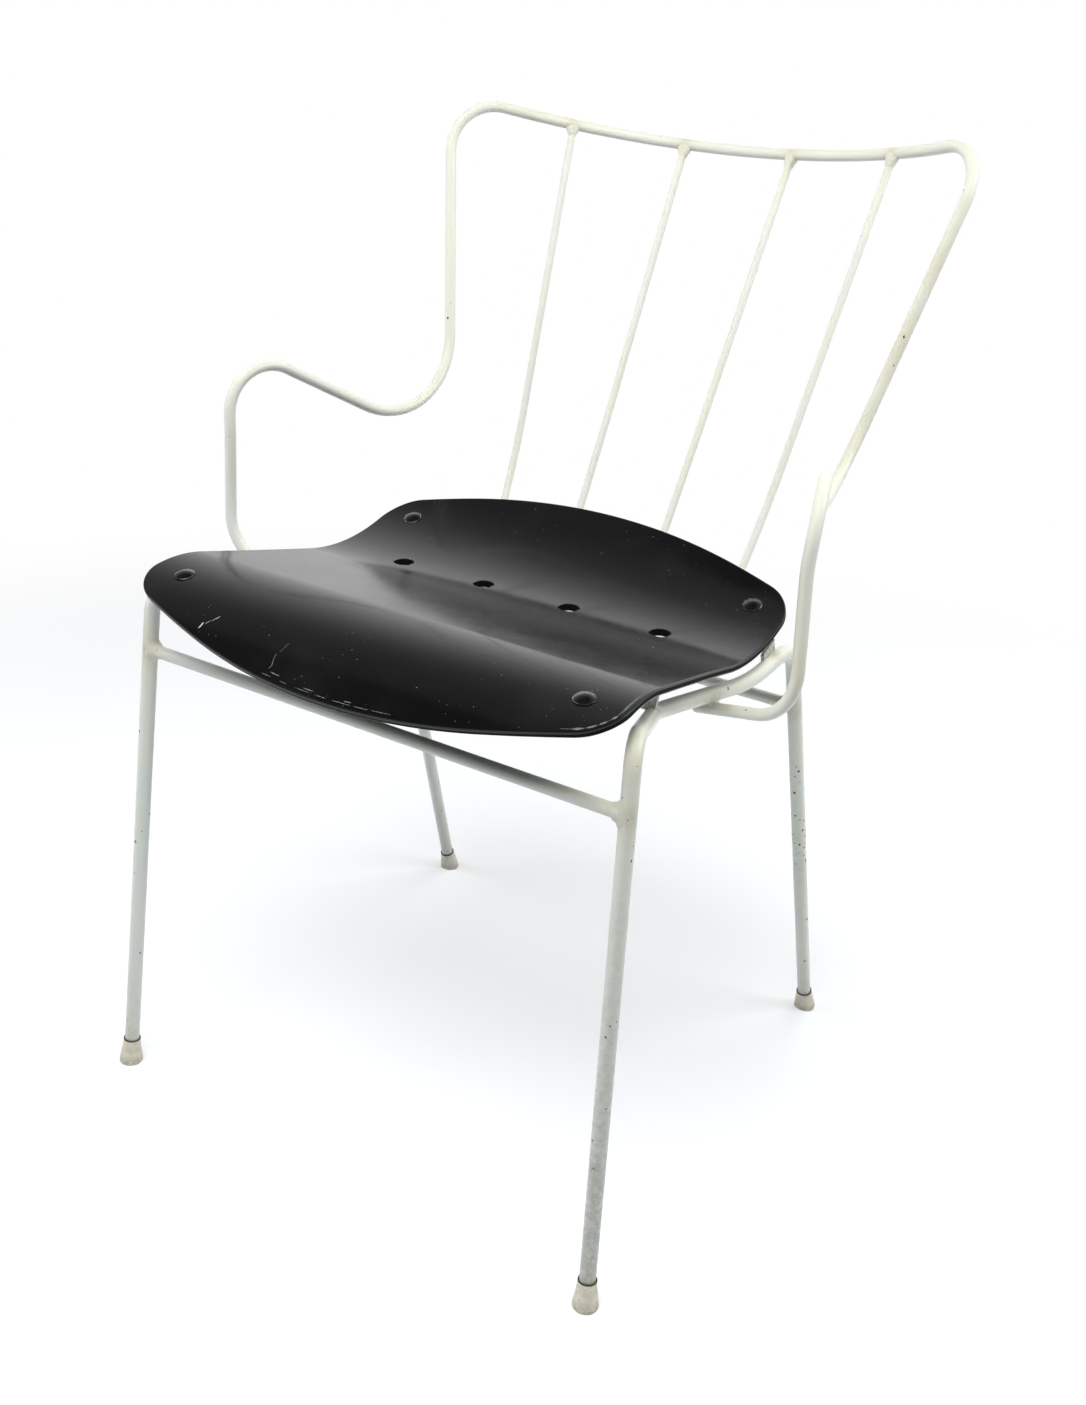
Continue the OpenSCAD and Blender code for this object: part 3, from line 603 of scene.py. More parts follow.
spindleJoints = []
for kind in ("outer", "inner"):
    rule = spindles[kind]
    for s, side in hands:
        axis = [spindleFoot(kind), at(*rule["mid"]), railAt(rule["top"])]
        if s < 0:
            axis = otherHand(axis)
        name = "spindle_" + kind + "_" + side
        run = bentRun(axis, [0, rule["bend"], 0])
        enamelled(rodMesh(name + "_rod", run, spindles["width"], enamel, sides=28), name)
        spindleJoints.append((s, rule, *axis))
print("rods bent")


# welds: lumpy fillets from one rod to the next

welds = {
    "spindleTop": {"onRail": 2.7, "onRod": 7.0, "swell": 0.60, "belly": 0.48, "lumps": 0.42},
    "spindleFoot": {"onRail": 2.8, "onRod": 5.0, "swell": 0.60, "belly": 0.30, "lumps": 0.40},
    "crossbar": {"onRail": 4.8, "onRod": 6.4, "swell": 0.32, "belly": 0.16, "lumps": 0.60},
    "armNeck": {"reach": 6.4, "waist": 0.42, "lumps": 0.35},
}


def fillet(centre, railWay, railWidth, rodWay, rodWidth, rule, seed, turns=56, steps=10):
    # a bead from the face of the rail to the face of the rod that stands on it
    ra, rb = railWidth / 2 * mm, rodWidth / 2 * mm
    a, b = railWay.normalized(), rodWay.normalized()
    e1 = (a - b * a.dot(b)).normalized()
    e2 = b.cross(e1)
    drift = Vector((seed * 3.7, seed * 1.3, seed * 2.1))
    rows = []
    for k in range(turns):
        turn = 2 * math.pi * k / turns
        out = e1 * math.cos(turn) + e2 * math.sin(turn)
        q = out * rb
        qp, bp = q - a * q.dot(a), b - a * b.dot(a)
        half = qp.dot(bp) / bp.length_squared
        reach = -half + math.sqrt(max(0, half * half - (qp.length_squared - ra * ra) / bp.length_squared))
        crease = centre + q + b * reach
        up = (qp + bp * reach).normalized()
        wander = noise.noise(out * 1.1 + drift) + 0.5 * noise.noise(out * 2.7 + drift)
        legRail = rule["onRail"] * mm * (1 + 0.30 * wander)
        legRod = rule["onRod"] * mm * (1 + 0.34 * noise.noise(out * 1.3 - drift))
        way = (out - up * out.dot(up)).normalized()
        over = a.cross(up)
        roll = legRail * way.dot(over) / ra
        core = crease - up * ra
        normal = up * math.cos(roll) + over * math.sin(roll)
        p0 = core + a * (legRail * way.dot(a)) + normal * ra
        p2 = crease + b * legRod
        p1 = crease + out * (legRail * rule["swell"]) + b * (legRod * rule["belly"])
        row = [p0 - normal * (0.35 * mm) + way * (0.2 * mm)]
        for i in range(steps + 1):
            t = i / steps
            p = p0 * (1 - t) ** 2 + p1 * (2 * t * (1 - t)) + p2 * t * t
            face = (normal * (1 - t) + out * t).normalized()
            lump = noise.noise(p * 420 + drift) + 0.6 * noise.noise(p * 900 + drift)
            row.append(p + face * (lump * rule["lumps"] * mm * math.sin(math.pi * t) ** 0.7))
        row.append(p2 - out * (0.3 * mm) + b * (0.6 * mm))
        rows.append(row)
    return rows


def neck(contact, up, railWay, railWidth, armWay, armWidth, rule, seed, turns=56, steps=10):
    # the weld in the cross of two rods that touch face to face
    ra, rb = railWidth / 2 * mm, armWidth / 2 * mm
    e1 = railWay.normalized()
    e2 = up.cross(e1)
    drift = Vector((seed * 2.9, seed * 4.1, seed * 0.7))

    def onRod(way, axis, normal, radius, reach):
        across = way - axis * way.dot(axis)
        roll = reach * across.length / radius
        side = across.normalized() if across.length > 1e-6 else Vector((0, 0, 0))
        core = contact - normal * radius
        facing = normal * math.cos(roll) + side * math.sin(roll)
        return core + axis * (reach * way.dot(axis)) + facing * radius

    rows = []
    for k in range(turns):
        turn = 2 * math.pi * k / turns
        way = e1 * math.cos(turn) + e2 * math.sin(turn)
        reach = rule["reach"] * mm * (1 + 0.22 * noise.noise(way * 1.4 + drift))
        p0 = onRod(way, railWay, -up, ra, reach)
        p2 = onRod(way, armWay, up, rb, reach)
        p1 = contact + way * (reach * rule["waist"])
        row = [p0 + up * (0.4 * mm)]
        for i in range(steps + 1):
            t = i / steps
            p = p0 * (1 - t) ** 2 + p1 * (2 * t * (1 - t)) + p2 * t * t
            lump = noise.noise(p * 420 + drift) + 0.6 * noise.noise(p * 900 + drift)
            row.append(p + way * (lump * rule["lumps"] * mm * math.sin(math.pi * t) ** 0.7))
        row.append(p2 - up * (0.4 * mm))
        rows.append(row)
    return rows


def beadMesh(name, beads, node):
    points, faces = [], []
    for rows in beads:
        first, depth = len(points), len(rows[0])
        for row in rows:
            points += row
        for k in range(len(rows)):
            a, b = first + k * depth, first + (k + 1) % len(rows) * depth
            for i in range(depth - 1):
                faces.append((a + i, b + i, b + i + 1, a + i + 1))
    enamelled(newPiece(name, points, faces, enamel), node)


topBeads, footBeads = [], []
for number, (s, rule, foot, mid, top) in enumerate(spindleJoints):
    topBeads.append(fillet(top, railWayAt(s * rule["top"]), armRod["width"], mid - top, spindles["width"],
                           welds["spindleTop"], number + 1))
    footBeads.append(fillet(foot, Vector((1, 0, 0)), crossbars["width"], mid - foot, spindles["width"],
                            welds["spindleFoot"], number + 11))
beadMesh("spindle_top_beads", topBeads, "spindle_top_welds")
beadMesh("spindle_foot_beads", footBeads, "spindle_foot_welds")

barBeads, neckBeads = [], []
contact = railPoint - railUp * (sideFrame["width"] / 2 + 0.05) * mm
for s, _ in hands:
    for number, (centre, leg) in enumerate(((frontBarEnd, frontLeg), (rearBarEnd, rearLeg))):
        joint = [centre, (leg[1] - leg[0]).normalized(), Vector((-1, 0, 0))]
        if s < 0:
            joint = otherHand(joint)
        barBeads.append(fillet(joint[0], joint[1], sideFrame["width"], joint[2], crossbars["width"],
                               welds["crossbar"], 21 + number + 2 * s))
    ways = [contact, railUp, railWay, tailWay]
    if s < 0:
        ways = otherHand(ways)
    neckBeads.append(neck(ways[0], ways[1], ways[2], sideFrame["width"], ways[3], armRod["width"],
                          welds["armNeck"], 31 + s))
beadMesh("crossbar_beads", barBeads, "crossbar_welds")
beadMesh("arm_neck_beads", neckBeads, "arm_loop_welds")


# chips down to the steel: the piece, the ends of a stretch of it, the shares of that stretch
# between which it is chipped, how many chips and their usual width in millimetres
frontJoint = [towards(frontBarEnd, frontFoot, 0.009), towards(frontBarEnd, frontKnee, 0.009)]
chipAim = 12     # how far off a rod's axis a chip is aimed, before it is dropped on the rod
chipStretches = [
    ("side_rod_left", rearLeg, 0.45, 0.72, 46, 2.0),
    ("side_rod_left", rearLeg, 0.04, 0.75, 26, 1.6),
    ("side_rod_left", frontLeg, 0.08, 0.80, 34, 1.3),
    ("side_rod_left", frontLeg, 0.80, 0.98, 6, 1.1),
    ("side_rod_left", [waist, swell], 0.2, 0.9, 3, 1.3),
    ("side_rod_right", otherHand(frontLeg), 0.06, 0.95, 18, 1.5),
    ("side_rod_right", otherHand(rearLeg), 0.2, 0.4, 5, 1.4),
    ("crossbar_beads", frontJoint, 0.0, 1.0, 4, 1.6),
    ("crossbar_beads", otherHand(frontJoint), 0.0, 1.0, 7, 2.0),
    ("arm_and_back_rod", armPost, 0.2, 0.8, 4, 1.6),
    ("arm_and_back_rod", backSide, 0.35, 0.9, 6, 1.5),
    ("arm_and_back_rod", otherHand(armPost), 0.0, 0.6, 2, 1.3),
    ("arm_and_back_rod", otherHand(backSide), 0.3, 0.45, 7, 1.1),
]
for kind in ("outer", "inner"):
    spindle = [at(*spindles[kind]["mid"]), railAt(spindles[kind]["top"])]
    for rod, side in ((spindle, "left"), (otherHand(spindle), "right")):
        chipStretches.append(("spindle_" + kind + "_" + side + "_rod", rod, 0.3, 0.8, 2, 1.5))


def chipPlaces():
    # drops the chips along each stretch and round its rod, by a draw that is always the same
    found, dice = [], random.Random(5)
    for name, (start, end), low, high, count, width in chipStretches:
        ground = groundOf(bpy.data.objects[name])
        way = (end - start).normalized()
        side = way.orthogonal().normalized()
        for k in range(count):
            turn = dice.uniform(0, 2 * math.pi)
            out = side * math.cos(turn) + way.cross(side) * math.sin(turn)
            aim = start.lerp(end, dice.uniform(low, high)) + out * (chipAim * mm)
            found.append((ground, aim, width * dice.triangular(0.5, 1.9, 0.7)))
    return found


def chipMesh(name, places, material, corners=11):
    # ragged flakes that lie on the faces of the rods
    points, faces = [], []
    for number, (ground, aim, width) in enumerate(places):
        spot, normal, _, _ = ground.find_nearest(aim)
        tall = Vector((0, 0, 1)) - normal * normal.z
        tall = tall.normalized() if tall.length > 0.2 else normal.orthogonal().normalized()
        wide = normal.cross(tall)
        stretch = 1 + 0.7 * abs(noise.noise(Vector((number * 1.7, 2.3, 0.4))))
        first = len(points)
        points.append(spot + normal * (sheetLift * mm))
        for k in range(corners):
            turn = 2 * math.pi * k / corners
            draw = Vector((math.cos(turn) * 1.3, math.sin(turn) * 1.3, number * 3.1))
            reach = width * 0.63 * mm * (0.5 + 0.9 * abs(noise.noise(draw)))
            p = spot + wide * (math.cos(turn) * reach) + tall * (math.sin(turn) * reach * stretch)
            q, facing, _, _ = ground.find_nearest(p)
            points.append(q + facing * (sheetLift * mm))
            faces.append((first, first + 1 + k, first + 1 + (k + 1) % corners))
    newPiece(name, points, faces, material)


chipMesh("enamel_chips", chipPlaces(), bareSteel)
print("welds laid")


# seat: a pressed board, rolled at the front and dished at the rear

seat = {
    "thick": 5.6, "edge": 1.4, "frontHeight": 452.4,
    "roll": 114.5, "rollSlope": 37.8, "fall": 11, "dishRun": 248.4, "rollY": 226.4,
    "dip": 172, "rearSlope": 37,
    "frontY": 282, "rearY": 97.6, "frontX": 205.8, "waistX": 198.8, "rearX": 195.9,
    "frontBow": 38.2, "rearBow": 33.4, "frontCorner": 34, "rearCorner": 35.5,
    "hole": 17, "holePitch": 81.6, "holeRow": 19.3, "holeEdge": 0.6, "holeTaper": 1.3,
    "grid": (8, 4), "gridClear": 2.6,
    "frontBolt": (173.4, -223.3), "rearBolt": (166, 50.2),
}
fall, rollTilt, rearTilt = [math.radians(seat[key]) for key in ("fall", "rollSlope", "rearSlope")]
rollR, dipR = seat["roll"], seat["dip"]
rollSet = rollR * math.tan((rollTilt + fall) / 2)
dipSet = dipR * math.tan((fall + rearTilt) / 2)
rollHubY = -seat["rollY"] + rollSet * math.cos(fall) - rollR * math.sin(fall)
rollHubZ = seat["frontHeight"] - math.sqrt(rollR ** 2 - (seat["frontBolt"][1] - rollHubY) ** 2)
rollZ = rollHubZ + rollR * math.cos(fall) + rollSet * math.sin(fall)
dipCornerY, dipCornerZ = -seat["rollY"] + seat["dishRun"], rollZ - seat["dishRun"] * math.tan(fall)
dipStartY, dipStartZ = dipCornerY - math.cos(fall) * dipSet, dipCornerZ + math.sin(fall) * dipSet
dipHubY, dipHubZ = dipStartY + math.sin(fall) * dipR, dipStartZ + math.cos(fall) * dipR
rollStartY, rollEndY = rollHubY - rollR * math.sin(rollTilt), rollHubY + rollR * math.sin(fall)
dipEndY = dipHubY + dipR * math.sin(rearTilt)


def seatTop(y):
    # height of the seat's top and its lean, front to back, in millimetres
    if y < rollStartY:
        return rollHubZ + rollR * math.cos(rollTilt) - (rollStartY - y) * math.tan(rollTilt), rollTilt
    if y < rollEndY:
        rise = math.sqrt(rollR ** 2 - (y - rollHubY) ** 2)
        return rollHubZ + rise, -math.asin((y - rollHubY) / rollR)
    if y < dipStartY:
        return rollHubZ + rollR * math.cos(fall) - (y - rollEndY) * math.tan(fall), -fall
    if y < dipEndY:
        return dipHubZ - math.sqrt(dipR ** 2 - (y - dipHubY) ** 2), math.asin((y - dipHubY) / dipR)
    return dipHubZ - dipR * math.cos(rearTilt) + (y - dipEndY) * math.tan(rearTilt), rearTilt


def onSeat(x, y, depth=0.0):
    # a point of the board, this deep under its top, and the top's normal there
    z, lean = seatTop(y)
    normal = Vector((0, -math.sin(lean), math.cos(lean)))
    return at(x, y, z) - normal * (depth * mm), normal


def seatOutline():
    frontR = (seat["frontX"] ** 2 + seat["frontBow"] ** 2) / (2 * seat["frontBow"])
    rearR = (seat["rearX"] ** 2 + seat["rearBow"] ** 2) / (2 * seat["rearBow"])
    fc, rc = seat["frontCorner"], seat["rearCorner"]
    fx, rx = seat["frontX"] - fc, seat["rearX"] - rc
    fy = -seat["frontY"] + frontR - math.sqrt((frontR - fc) ** 2 - fx ** 2)
    ry = seat["rearY"] - rearR + math.sqrt((rearR - rc) ** 2 - rx ** 2)
    swing, stop = math.asin(fx / (frontR - fc)), math.asin(rx / (rearR - rc))
    inward = (seat["frontX"] + seat["rearX"]) / 2 - seat["waistX"]

    def arc(hx, hy, r, start, end, count):
        return [(hx + r * math.cos(start + (end - start) * k / count),
                 hy + r * math.sin(start + (end - start) * k / count)) for k in range(count)]

    down, level, over = -math.pi / 2, 0.0, math.pi / 2
    half = arc(0, frontR - seat["frontY"], frontR, down, down + swing, 64)
    half += arc(fx, fy, fc, down + swing, level, 24)
    for share in [k / 90 for k in range(90)]:
        x = seat["frontX"] + (seat["rearX"] - seat["frontX"]) * share
        half.append((x - inward * math.sin(math.pi * share) ** 2, fy + (ry - fy) * share))
    half += arc(rx, ry, rc, level, over - stop, 26)
    half += arc(0, seat["rearY"] - rearR, rearR, over - stop, over, 60) + [(0, seat["rearY"])]
    return half + [(-x, y) for x, y in reversed(half[1:-1])]


def grown(loop, amount):
    # the loop moved outward by an amount, along its own normals
    moved, count = [], len(loop)
    for i in range(count):
        (ax, ay), (bx, by) = loop[i - 1], loop[(i + 1) % count]
        tx, ty = bx - ax, by - ay
        size = math.hypot(tx, ty)
        moved.append((loop[i][0] + ty / size * amount, loop[i][1] - tx / size * amount))
    return moved


def inside(loop, x, y):
    found = False
    for i in range(len(loop)):
        (ax, ay), (bx, by) = loop[i - 1], loop[i]
        if (ay > y) != (by > y) and x < (bx - ax) * (y - ay) / (by - ay) + ax:
            found = not found
    return found


holeXs = [k * seat["holePitch"] for k in (-1.5, -0.5, 0.5, 1.5)]


def pastHole(x, y):
    # distance to the edge of the nearest hole, negative inside it
    return min(math.hypot(x - hx, y + seat["holeRow"]) for hx in holeXs) - seat["hole"] / 2


def makeSeat():
    rim, edge, thick = seatOutline(), seat["edge"], seat["thick"]
    tilt, r = seatTop(-seat["holeRow"])[1], seat["hole"] / 2
    # the holes run clockwise, so that growing them shrinks them
    turns = [2 * math.pi * j / 48 for j in range(48)]
    holes = [[(hx + r * math.cos(-t), -seat["holeRow"] + r * math.cos(tilt) * math.sin(-t)) for t in turns]
             for hx in holeXs]
    loops = [(rim, edge)] + [(hole, seat["holeEdge"]) for hole in holes]

    # the flat of the top inside the rounded edges, as one triangulated sheet
    sheet, rings = [], []
    for loop, bevel in loops:
        inner = grown(loop, -bevel)
        rings.append(list(range(len(sheet), len(sheet) + len(inner))))
        sheet += inner
    ringEdges = [(ring[i], ring[(i + 1) % len(ring)]) for ring in rings for i in range(len(ring))]

    def clear(x, y):
        margin = seat["gridClear"]
        return (inside(rim, x, y) and pastHole(x, y) > margin
                and min(math.hypot(x - px, y - py) for px, py in rim) >= margin + edge)

    across, y = math.ceil(seat["frontX"] / seat["grid"][0]), -seat["frontY"]
    while y < seat["rearY"]:
        for x in [seat["grid"][0] * k for k in range(-across, across)]:
            if clear(x, y):
                sheet.append((x, y))
        y += seat["grid"][1]
    kept, _, faces2d, origin, _, _ = delaunay_2d_cdt([Vector(p) for p in sheet], ringEdges, [], 0, 1e-5)

    rimPolygon = grown(rim, -edge)
    flat = []
    for face in faces2d:
        cx = sum(kept[i].x for i in face) / 3
        cy = sum(kept[i].y for i in face) / 3
        if inside(rimPolygon, cx, cy) and pastHole(cx, cy) >= -0.3:
            flat.append(tuple(face))
    points, faces, normals, edgeFaces = [], [], [], set()
    base = len(kept)
    for p in kept:
        q, n = onSeat(p.x, p.y)
        points.append(q)
        normals.append(n)
    for p in kept:
        q, n = onSeat(p.x, p.y, thick)
        points.append(q)
        normals.append(-n)
    faces += flat + [tuple(i + base for i in reversed(face)) for face in flat]

    # where each ring's points went in the kept list
    where = {}
    for new, olds in enumerate(origin):
        for old in olds:
            where[old] = new

    quarter = 5
    for (loop, bevel), ring in zip(loops, rings):
        profile = []      # (outward from the loop, depth, side share)
        for j in range(1, quarter + 1):
            a = math.pi / 2 * j / quarter
            profile.append((-bevel * (1 - math.sin(a)), bevel * (1 - math.cos(a)), math.sin(a)))
        for j in range(1, 5):
            profile.append((0.0, bevel + (thick - 2 * bevel) * j / 5, 1.0))
        for j in range(quarter, 0, -1):
            a = math.pi / 2 * j / quarter
            profile.append((-bevel * (1 - math.sin(a)), thick - bevel * (1 - math.cos(a)), math.sin(a)))
        rows = [[where[i] for i in ring]]
        for outward, depth, share in profile:
            taper = 0.0 if loop is rim else seat["holeTaper"] * depth / thick
            moved, row = grown(loop, outward + taper), []
            for i, (px, py) in enumerate(moved):
                q, n = onSeat(px, py, depth)
                (ax, ay), (bx, by) = loop[i - 1], loop[(i + 1) % len(loop)]
                side = Vector((by - ay, ax - bx, 0))
                side = (side - n * side.dot(n)).normalized()
                face = n if depth < thick / 2 else -n
                row.append(len(points))
                points.append(q)
                normals.append((side * share + face * math.sqrt(max(0, 1 - share * share))).normalized())
            rows.append(row)
        rows.append([where[i] + base for i in ring])
        count = len(ring)
        for level, (upper, lower) in enumerate(zip(rows, rows[1:])):
            for i in range(count):
                n = (i + 1) % count
                faces.append((upper[i], lower[i], lower[n], upper[n]))
                if quarter <= level < len(rows) - 1 - quarter:
                    edgeFaces.add(len(faces) - 1)
    board = newPiece("seat_board", points, faces, seatGloss)
    board.data.materials.append(plyEdge)
    for polygon in board.data.polygons:
        if polygon.index in edgeFaces:
            polygon.material_index = 1
    board.data.normals_split_custom_set_from_vertices([tuple(n) for n in normals])
    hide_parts("seat_shell")


# scratches in the seat's gloss, listed one by one: share of the half width from the middle, distance
# behind the front edge, heading in degrees from the sitter's left, length, width, tint
scratches = [
    (-0.59, 6, 75, 5, 1.0, 0.95), (-0.58, 11, 65, 3.5, 0.35, 0.8), (-0.565, 15, 70, 6, 0.45, 0.8),
    (-0.225, 7, 88, 11, 0.5, 0.5), (-0.225, 19, 95, 8, 0.3, 0.45),
]
# wear along the front edge, and thin dashed strokes that are a painted highlight along its lip: from share to
# share, distance inside the edge, dashes, width, tint
edgeWearAndSheen = [
    (-0.24, 0.30, 3.5, 7, 0.3, 0.45), (-0.22, -0.15, 6, 1, 0.6, 0.5), (-0.06, 0.0, 5, 1, 0.5, 0.4),
    (0.11, 0.15, 5, 1, 0.5, 0.4), (0.84, 0.99, 3, 3, 0.28, 0.5), (0.88, 0.98, 3, 4, 1.4, 0.42),
]
flecks = {"count": 9, "across": 0.7, "ahead": 150, "clear": 25, "width": 0.8, "tint": 1.0}


def scuffAndSheenLines():
    # every stroke as points (x, y) in millimetres, with its width and tint
    lines, half, dice = [], seat["frontX"], random.Random(11)
    front = [p for p in seatOutline() if p[1] < -seat["holeRow"]]
    for across, behind, heading, length, width, tint in scratches:
        x, rimY = min(front, key=lambda p: abs(p[0] - across * half))
        y, line = rimY + behind, []
        for k in range(5):
            line.append((x, y))
            turn = math.radians(heading + dice.uniform(-28, 28))
            x, y = x + length / 4 * math.cos(turn), y + length / 4 * math.sin(turn)
        lines.append((line, width, tint))
    # dashes along the front edge: wear marks, and thin strokes that are a painted highlight along the lip
    for low, high, inset, dashes, width, tint in edgeWearAndSheen:
        edge = sorted(p for p in grown(seatOutline(), -inset)
                      if low * half <= p[0] <= high * half and p[1] < -seat["holeRow"] * 10)
        share = len(edge) / dashes
        for k in range(dashes):
            dash = edge[round(k * share):round((k + dice.uniform(0.5, 0.9)) * share) + 1]
            if len(dash) > 1:
                lines.append((dash, width, tint))
    for k in range(flecks["count"]):
        x = dice.uniform(-1, 1) * flecks["across"] * half
        y = dice.uniform(-flecks["ahead"], seat["rearY"] - flecks["clear"])
        lines.append(([(x, y), (x + 0.5, y - 0.5)], flecks["width"], flecks["tint"]))
    return lines


def makeScuffsAndSheen():
    # each stroke is a thin tapered strip on the board, swollen and pinched along its run
    points, faces, tints = [], [], []
    ground = groundOf(bpy.data.objects["seat_board"])
    for number, (line, width, tint) in enumerate(scuffAndSheenLines()):
        run = []
        for (ax, ay), (bx, by) in zip(line, line[1:]):
            steps = max(2, math.ceil(math.hypot(bx - ax, by - ay) / 0.5))
            run += [(ax + (bx - ax) * k / steps, ay + (by - ay) * k / steps) for k in range(steps)]
        run.append(line[-1])
        first = len(points)
        for i, (x, y) in enumerate(run):
            (ax, ay), (bx, by) = run[max(i - 1, 0)], run[min(i + 1, len(run) - 1)]
            size = math.hypot(bx - ax, by - ay)
            share = i / (len(run) - 1)
            wobble = 0.8 + 0.9 * noise.noise(Vector((i * 0.9, number * 2.7, 0)))
            half = max(0.08, width / 2 * (0.25 + math.sin(math.pi * share) ** 0.5) * wobble)
            for edge in (-1, 1):
                sx, sy = x - (by - ay) / size * half * edge, y + (bx - ax) / size * half * edge
                p, normal, _, _ = ground.find_nearest(onSeat(sx, sy)[0])
                points.append(p + normal * (sheetLift * mm))
                tints.append(tint)
            if i:
                faces.append((first + 2 * i - 2, first + 2 * i - 1, first + 2 * i + 1, first + 2 * i))
    piece = newPiece("seat_scuffs", points, faces, seatScuffAndSheen)
    piece.data.attributes.new("tint", "FLOAT", "POINT").data.foreach_set("value", tints)


makeSeat()
makeScuffsAndSheen()
print("seat pressed")


# bolts through the seat, and the caps on the feet

bolt = {
    "head": 15.5, "rise": 2.9, "shank": 6.0, "lift": 0.15, "below": 18.5, "paintedRimWidth": 0.42,
    "root": 2.62, "pitch": 0.9, "threaded": 6.5,
}


def boltOutline():
    half, rise, r, tip = bolt["head"] / 2, bolt["rise"], bolt["shank"] / 2, -bolt["below"]
    domeR = (half ** 2 + rise ** 2) / (2 * rise)
    line = [(0.4, tip), (2.3, tip), (2.85, tip + 0.5)]
    z = tip + 0.8
    while z < tip + bolt["threaded"]:        # the thread, as fine ridges
        line += [(bolt["root"], z), (r, z + 0.38), (r, z + 0.5)]
        z += bolt["pitch"]
    line += [(r, 0.0), (half - 0.4, 0.0), (half - 0.05, 0.15), (half, 0.45)]
    for k in range(1, 13):
        a = math.asin((half - 0.05) / domeR) * (1 - k / 12)
        line.append((max(0.15, domeR * math.sin(a)), rise - domeR + domeR * math.cos(a)))
    return line


for key, end in (("frontBolt", "front"), ("rearBolt", "rear")):
    for s, side in hands:
        foot, normal = onSeat(s * seat[key][0], seat[key][1])
        seated = foot + normal * (bolt["lift"] * mm)
        head = turnedMesh("seat_bolt_head_" + end + "_" + side, boltOutline(), seated, normal, boltBlack)
        head.data.materials.append(paintedBoltRimHighlight)
        for polygon in head.data.polygons:
            # faces round the rim of the head get the painted highlight
            over = (polygon.center - foot).dot(normal)
            radial = (polygon.center - foot - normal * over).length
            if over > 0 and radial > (bolt["head"] / 2 - bolt["paintedRimWidth"]) * mm:
                polygon.material_index = 1
        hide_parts("seat_bolt_" + end + "_" + side)

cap = {"wide": 19.6, "rim": 14.2, "tall": 23.5, "lip": 3.5, "heel": 3.0, "below": 2.3, "rod": 12.2}


def capOutline():
    w, r, h, rod = cap["wide"] / 2, cap["rim"] / 2, cap["tall"], cap["rod"] / 2
    heel, tip = cap["heel"], -cap["below"]
    line = [(0.3, tip), (w - 3.0, tip), (w - 1.5, -1.9), (w - 0.5, -0.9),
            (w - 0.1, 0.4), (w, 1.6), (w - 0.12, heel)]
    for k in range(1, 9):
        t = k / 9
        line.append((w + (r - w) * (t ** 0.92), heel + (h - cap["lip"] - heel) * t))
    line += [(r, h - cap["lip"]), (r + 0.05, h - 1.2), (r - 0.02, h - 0.35),
             (r - 0.18, h - 0.05), (r - 0.32, h)]
    return line + [(rod + 0.6, h - 0.25), (rod + 0.5, h - 1.4), (rod - 0.4, h - 2.6)]


for name, foot, knee in (("front", frontFoot, frontKnee), ("rear", rearFoot, rearKnee)):
    for s, side in hands:
        base, aim = (foot, knee - foot) if s > 0 else (flipped(foot), flipped(knee - foot))
        shoe = turnedMesh("cap_" + name + "_" + side, capOutline(), base, aim, capRubber, floorCut=True)
        shoe.data.materials.append(capShadow)
        for polygon in shoe.data.polygons:
            up = (polygon.center - base).dot(aim.normalized()) / mm
            radial = ((polygon.center - base) - aim.normalized() * (up * mm)).length / mm
            # painted shade on the top edge and in the gap round the rod
            if up > cap["tall"] - 0.9 or (up > cap["tall"] - 2.7 and radial < cap["rod"] / 2 + 0.57):
                polygon.material_index = 1
        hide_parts("foot_cap_" + name + "_" + side)
print("bolts and caps fitted")


# CAD pieces whose shape is right get their finish here

# the lugs get the enamel darkened by stain and painted shade
finishes = {"seat_" + part + "_" + side: lugEnamel for part in ("lug_front", "lug_rear") for _, side in hands}
finishes.update(seat_washers=dullZinc, seat_nuts=dullZinc)
for name, finish in finishes.items():
    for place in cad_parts[name].material_slots:
        place.material = finish


# floor, lamps and camera

studio = {
    "floor": (0.70, 0.745, 0.81), "floorSize": 16.0, "floorLift": 0.40, "fadeFrom": 0.75, "fadeTo": 1.6,
    "key": {"place": (-1.45, -0.75, 1.35), "size": (1.1, 1.1), "power": 13.5, "tint": (0.93, 0.96, 1.03)},
    "front": {"place": (0.1, -0.85, 1.75), "size": (1.0, 0.7), "power": 19.5, "tint": (1.02, 1.01, 0.95)},
    "side": {"place": (1.2, 0.45, 1.2), "size": (0.8, 0.8), "power": 10, "tint": (0.98, 1.0, 1.0),
             "shiny": True},
    "back": {"place": (0.3, 1.6, 1.3), "size": (1.2, 1.2), "power": 12, "tint": (1.04, 1.0, 0.92)},
    "sky": (0.93, 0.97, 1.06), "skyLevel": 0.08,
}

# the pale sweep behind the chair, as polished faces see it: heights in metres and bearings in
# degrees, each with its level
sweep = {
    "distance": 1.25,
    "heights": [(0.0, 0.85), (0.95, 0.84), (1.35, 0.66), (1.65, 0.42),
                (1.9, 0.24), (2.15, 0.14), (2.6, 0.10), (3.4, 0.06)],
    "bearings": [(-115, 0.06), (-92, 0.14), (-78, 0.34), (-62, 0.75), (-48, 1.0),
                 (-10, 1.0), (20, 0.85), (60, 0.6), (100, 0.4)],
    "haze": [(-115, 0.03), (-104, 0.18), (100, 0.18)],
}


def stepped(table, value):
    for (x0, y0), (x1, y1) in zip(table, table[1:]):
        if value <= x1:
            return y0 + (y1 - y0) * max(0.0, value - x0) / (x1 - x0)
    return table[-1][1]


